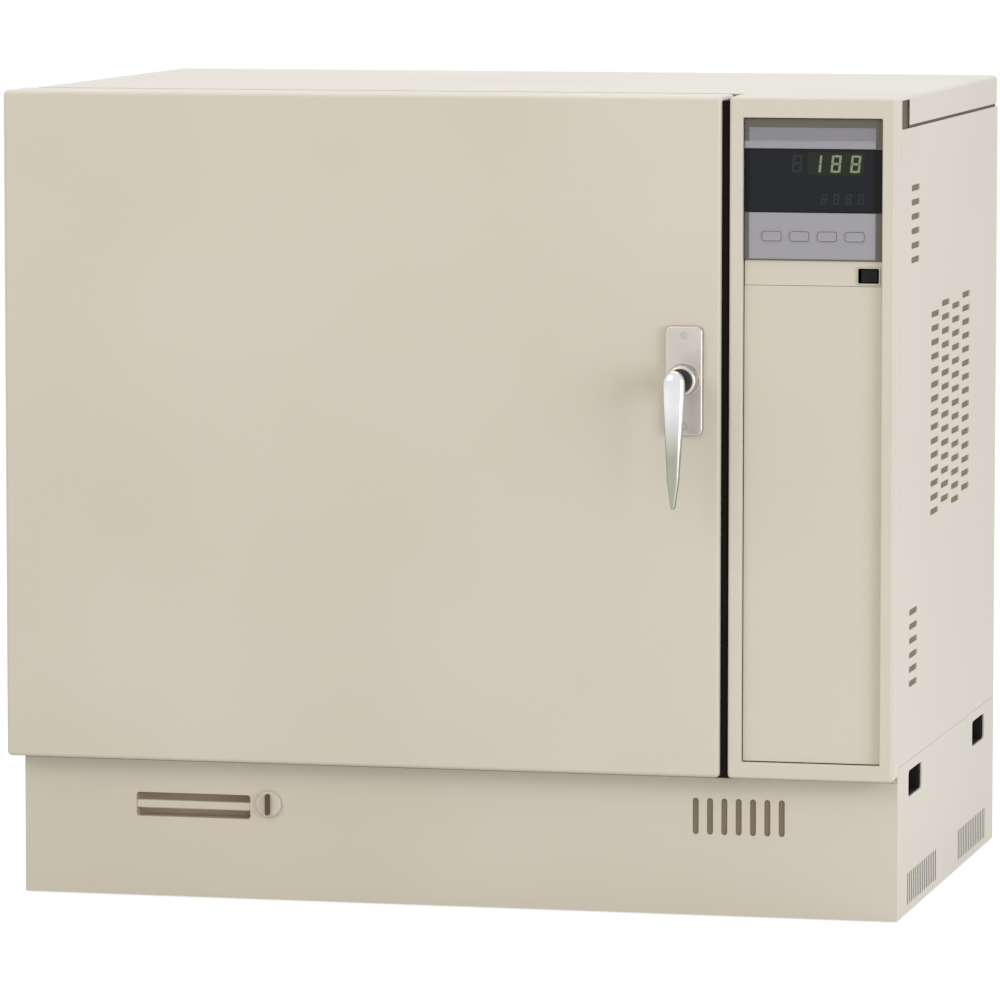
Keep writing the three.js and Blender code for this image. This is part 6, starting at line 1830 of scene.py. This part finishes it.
finish_piece("motor_casting", shape, cast_aluminium, ["fan_motor"])
print("motor", round(length))

# %% [markdown]
# ## Heater
#
# The heater is a sheathed element bent round the wheel, with both ends led out through the wall. It
# could be a curve with a bevel, but a swept ring of points lets both leads keep their own upright
# direction without a twist.

# %% Heater
TUBE_RADIUS, TUBE_SIDES, HEATER_BEND = 4, 14, 16
RING_STEPS, TURN_STEPS = 72, 8
low, high = corners("heater_tube")
ring_x = low.x + TUBE_RADIUS
free_angle = math.asin(LEAD_HALF / RING_RADIUS) + HEATER_BEND / RING_RADIUS
start, end = free_angle - math.pi / 2, 3 * math.pi / 2 - free_angle


def on_ring(angle):
    return Vector((ring_x, fan_y + RING_RADIUS * math.cos(angle), fan_z + RING_RADIUS * math.sin(angle)))


def bend(from_point, corner, to_point):
    """Points of a curve that leaves one point towards a corner and reaches the other from it."""
    shares = [k / TURN_STEPS for k in range(TURN_STEPS + 1)]
    return [from_point * (1 - t) ** 2 + corner * 2 * t * (1 - t) + to_point * t ** 2 for t in shares]


right_lead, left_lead = Vector((0, fan_y + LEAD_HALF, lead_z)), Vector((0, fan_y - LEAD_HALF, lead_z))
end_x, corner_x, bend_x = (Vector((x, 0, 0)) for x in (high.x, ring_x, ring_x + HEATER_BEND))
path = [
    right_lead + end_x, *bend(right_lead + bend_x, right_lead + corner_x, on_ring(start)),
    *(on_ring(start + (end - start) * k / RING_STEPS) for k in range(1, RING_STEPS)),
    *bend(on_ring(end), left_lead + corner_x, left_lead + bend_x), left_lead + end_x,
]
circle = round_ring(0, 0, TUBE_RADIUS, TUBE_SIDES)
axis_point = Vector((ring_x, fan_y, fan_z))
ups = [(point - axis_point).normalized() for point in path]
ups[0] = ups[1] = ups[-1] = ups[-2] = Vector((0, 0, -1))
shape = sweep(path, ups, lambda k: circle)
for lead in (right_lead, left_lead):
    turned("x", (high.x - 14, lead.y, lead.z), [(4, -8), (4.9, -7), (4.9, -3), (4, -2)], 20, onto=shape)
finish_piece("heater_element", shape, heater_sheath, ["heater_tube"])
print("heater points", len(path))

# %% [markdown]
# ## Probe and power unit
#
# The temperature probe is a closed tube with a rounded tip and a hexagon nut, so it is turned. The power
# unit is an aluminium heat sink, whose engineering shape is already right and only needs softer edges.

# %% Probe and power unit
low, high = corners("temperature_probe")
length = high.x - low.x
shape = turned("x", (low.x, probe.y, probe.z), [
    (0.4, 0), (1.6, 0.35), (2.6, 1.2), (3, 2.6), (3, length - 0.5), (2.5, length),
], 20)
nut = (column_low.x + 0.3, probe.y, probe.z)
turned("x", nut, [(8.2, 0), (9, 0.7), (9, 9.3), (8.2, 10)], 6, onto=shape)
finish_piece("sensor_rod", shape, satin_steel, ["temperature_probe"])
refined("power_unit", cast_aluminium, soften=0.5)
print("probe", round(length))

# %% [markdown]
# ## Screens behind the vents
#
# A thin brown sheet lies close behind the side's slots and the plinth's, as painted shade: its brown
# stands for the shaded inside seen through the slots. It is seen only through the slots, so it is a thin
# plate with a fibre finish.

# %% Screens
SCREEN_NEAR, SCREEN_FAR = 0.1, 0.7
SCREEN_FRONT, SCREEN_REAR, SCREEN_FOOT, SCREEN_TOP = 55, 60, 60, 40
VENTS_LEFT, VENTS_RIGHT, VENTS_LOW, VENTS_HIGH = 206, 106, 60, 16
low, high = corners("side_panel_right")
# The screens' brown is painted shade seen through the slots.
shape = block(
    (high.x - SKIN - SCREEN_FAR, low.y + SCREEN_FRONT, low.z + SCREEN_FOOT),
    (high.x - SKIN - SCREEN_NEAR, high.y - SCREEN_REAR, lid_low.z - SCREEN_TOP),
)
finish_piece("vent_screen", shape, slot_shade_screen, like="side_panel_right", soften=0.2)
low, high = cover_low, cover_high
shape = block(
    (high.x - VENTS_LEFT, low.y + SKIN + SCREEN_NEAR, high.z - VENTS_LOW),
    (high.x - VENTS_RIGHT, low.y + SKIN + SCREEN_FAR, high.z - VENTS_HIGH),
)
finish_piece("plinth_screen", shape, slot_shade_screen, like="plinth_front_cover", soften=0.2)
print("screens 2")

# %% [markdown]
# ## Dark pads behind the base slots
#
# In the base, a dark grey pad lies behind the upright slots and bulges into them, as painted shade: it
# gives the slots the dark of the shaded space behind them. A block for each slot, a little smaller than
# the slot, gives that bulge and hides nothing of the slot's edge.

# %% Dark pads behind the base slots
PAD_FACE, PAD_HALF, PAD_BELOW, PAD_ABOVE = 0.3, 92, 7, 31
half_wide, half_tall = FOOT_SLOT_WIDE / 2 - 0.1, FOOT_SLOT_HIGH / 2 - 0.4
base_low = corners("base_pan")[0]
for side, node in (("left", "side_panel_left"), ("right", "side_strip_right")):
    low, high = corners(node)
    face, inward = (low.x, 1) if side == "left" else (high.x, -1)
    pad_near, pad_far = sorted(face + inward * (SKIN + deep) for deep in (0.02, 0.26))
    slot_near, slot_far = sorted(face + inward * deep for deep in (PAD_FACE, SKIN + 0.1))
    shape = bmesh.new()
    for y in (base_low.y + back for back in FOOT_GROUPS_BACK):
        block((pad_near, y - PAD_HALF, base_low.z - PAD_BELOW),
              (pad_far, y + PAD_HALF, base_low.z + PAD_ABOVE), onto=shape)
        for k in range(FOOT_SLOTS):
            middle = y + (k - (FOOT_SLOTS - 1) / 2) * FOOT_SLOT_PITCH
            block((slot_near, middle - half_wide, base_low.z + FOOT_GROUPS_UP - half_tall),
                  (slot_far, middle + half_wide, base_low.z + FOOT_GROUPS_UP + half_tall), onto=shape)
    finish_piece("filter_pad_" + side, shape, slot_shade_cloth, like=node)
print("pads 2")

# %% [markdown]
# ## Camera
#
# A long lens far away, as the photograph's edges ask for: they barely converge. The photograph is cropped
# off its lens axis, which a small shift repeats.

# %% Camera
AZIMUTH, ELEVATION, ROLL = 13.352, 5.357, -0.004
DISTANCE_MM, FOCAL_PIXELS = 6955.29, 7109.4
CENTRE_OFF_PIXELS = (-49.95, -18.42)
PHOTO_PIXELS = 1000

target = (Vector((0, 0, 420)) + ORIGIN_MM) * 0.001
turn, rise = math.radians(AZIMUTH), math.radians(ELEVATION)
away = Vector((math.sin(turn) * math.cos(rise), -math.cos(turn) * math.cos(rise), math.sin(rise)))
lens = bpy.data.cameras.new("camera")
lens.sensor_width = 36
lens.sensor_fit = "HORIZONTAL"
lens.lens = FOCAL_PIXELS / PHOTO_PIXELS * lens.sensor_width
lens.shift_x = -CENTRE_OFF_PIXELS[0] / PHOTO_PIXELS
lens.shift_y = CENTRE_OFF_PIXELS[1] / PHOTO_PIXELS
lens.clip_end = 100
camera = bpy.data.objects.new("camera", lens)
bpy.context.scene.collection.objects.link(camera)
place = Matrix.Translation(target + away * mm(DISTANCE_MM))
look = away.to_track_quat("Z", "Y").to_matrix().to_4x4()
camera.matrix_world = place @ look @ Matrix.Rotation(math.radians(ROLL), 4, "Z")
bpy.context.scene.camera = camera
print("camera", [round(v, 3) for v in camera.location], "lens", round(lens.lens, 1))

# %% [markdown]
# ## Light and background
#
# The oven stands in a plain studio. A large soft lamp hangs in front and to the left, another fills from
# the right, a third lights the lid, and the world gives an even pale light. The background is pure white
# only where it is looked at, straight, mirrored or through a clear piece, and the light it throws on the
# oven is weaker.

# %% Studio
def lamp(name, place, aim, size, power, tint):
    data = bpy.data.lights.new(name, "AREA")
    data.shape = "RECTANGLE"
    data.size, data.size_y = size
    data.energy = power
    data.color = tint
    thing = bpy.data.objects.new(name, data)
    bpy.context.scene.collection.objects.link(thing)
    thing.location = place
    thing.rotation_euler = (Vector(aim) - Vector(place)).to_track_quat("-Z", "Y").to_euler()


lamp("key lamp", (-2.4, -4.4, 3.0), (0, 0, 0.45), (2.6, 2.2), 45, (1, 0.86, 0.72))
lamp("fill lamp", (3.4, -2.2, 0.9), (0.3, 0, 0.35), (1.8, 1.8), 47, (0.86, 0.89, 1))
lamp("top lamp", (0.2, 0.4, 4.2), (0, 0, 0.4), (2.8, 2.8), 58, (0.66, 0.76, 1))

world = bpy.data.worlds.new("studio")
bpy.context.scene.world = world
world.use_nodes = True
world.node_tree.nodes.clear()


def background_seen(tree):
    """1 for rays that look at the background straight, in a reflection or through glass, else 0."""
    path = add(tree, "ShaderNodeLightPath").outputs
    seen = path["Is Camera Ray"]
    for ray in ("Is Glossy Ray", "Is Transmission Ray"):
        seen = add(tree, "ShaderNodeMath", {0: seen, 1: path[ray]}, operation="MAXIMUM").outputs[0]
    return seen


lit = add(world.node_tree, "ShaderNodeBackground", {"Color": linear("F4F3F1"), "Strength": 0.88})
shown = add(world.node_tree, "ShaderNodeBackground", {"Color": (1, 1, 1, 1), "Strength": 1.0})
mixed = add(world.node_tree, "ShaderNodeMixShader", {
    0: background_seen(world.node_tree), 1: lit.outputs[0], 2: shown.outputs[0],
})
add(world.node_tree, "ShaderNodeOutputWorld", {"Surface": mixed.outputs[0]})
print("lamps 3")

# %% [markdown]
# ## Floor
#
# The floor is white to the camera but keeps the oven's shadow. A plain white floor would turn grey under
# these lamps, so a little light is added, and only for rays that look at it straight or in a reflection.

# %% Floor
FLOOR_HALF, FLOOR_GLOW = 6, 0.6
floor_mesh = bpy.data.meshes.new("floor")
floor_mesh.from_pydata([
    (-FLOOR_HALF, -FLOOR_HALF, 0), (FLOOR_HALF, -FLOOR_HALF, 0), (FLOOR_HALF, FLOOR_HALF, 0),
    (-FLOOR_HALF, FLOOR_HALF, 0),
], [], [(0, 1, 2, 3)])
floor = bpy.data.objects.new("floor", floor_mesh)
bpy.context.scene.collection.objects.link(floor)
floor_paint, floor_tree = new_material("studio floor")
matt = add(floor_tree, "ShaderNodeBsdfDiffuse", {"Color": linear("C9C8C6")})
power = add(
    floor_tree, "ShaderNodeMath", {0: background_seen(floor_tree), 1: FLOOR_GLOW}, operation="MULTIPLY",
)
glow = add(floor_tree, "ShaderNodeEmission", {"Color": (1, 1, 1, 1), "Strength": power.outputs[0]})
both = add(floor_tree, "ShaderNodeAddShader", {0: matt.outputs[0], 1: glow.outputs[0]})
close_surface(floor_tree, both.outputs[0])
floor_mesh.materials.append(floor_paint)
bpy.context.scene.view_settings.view_transform = "Standard"
print("studio ready")
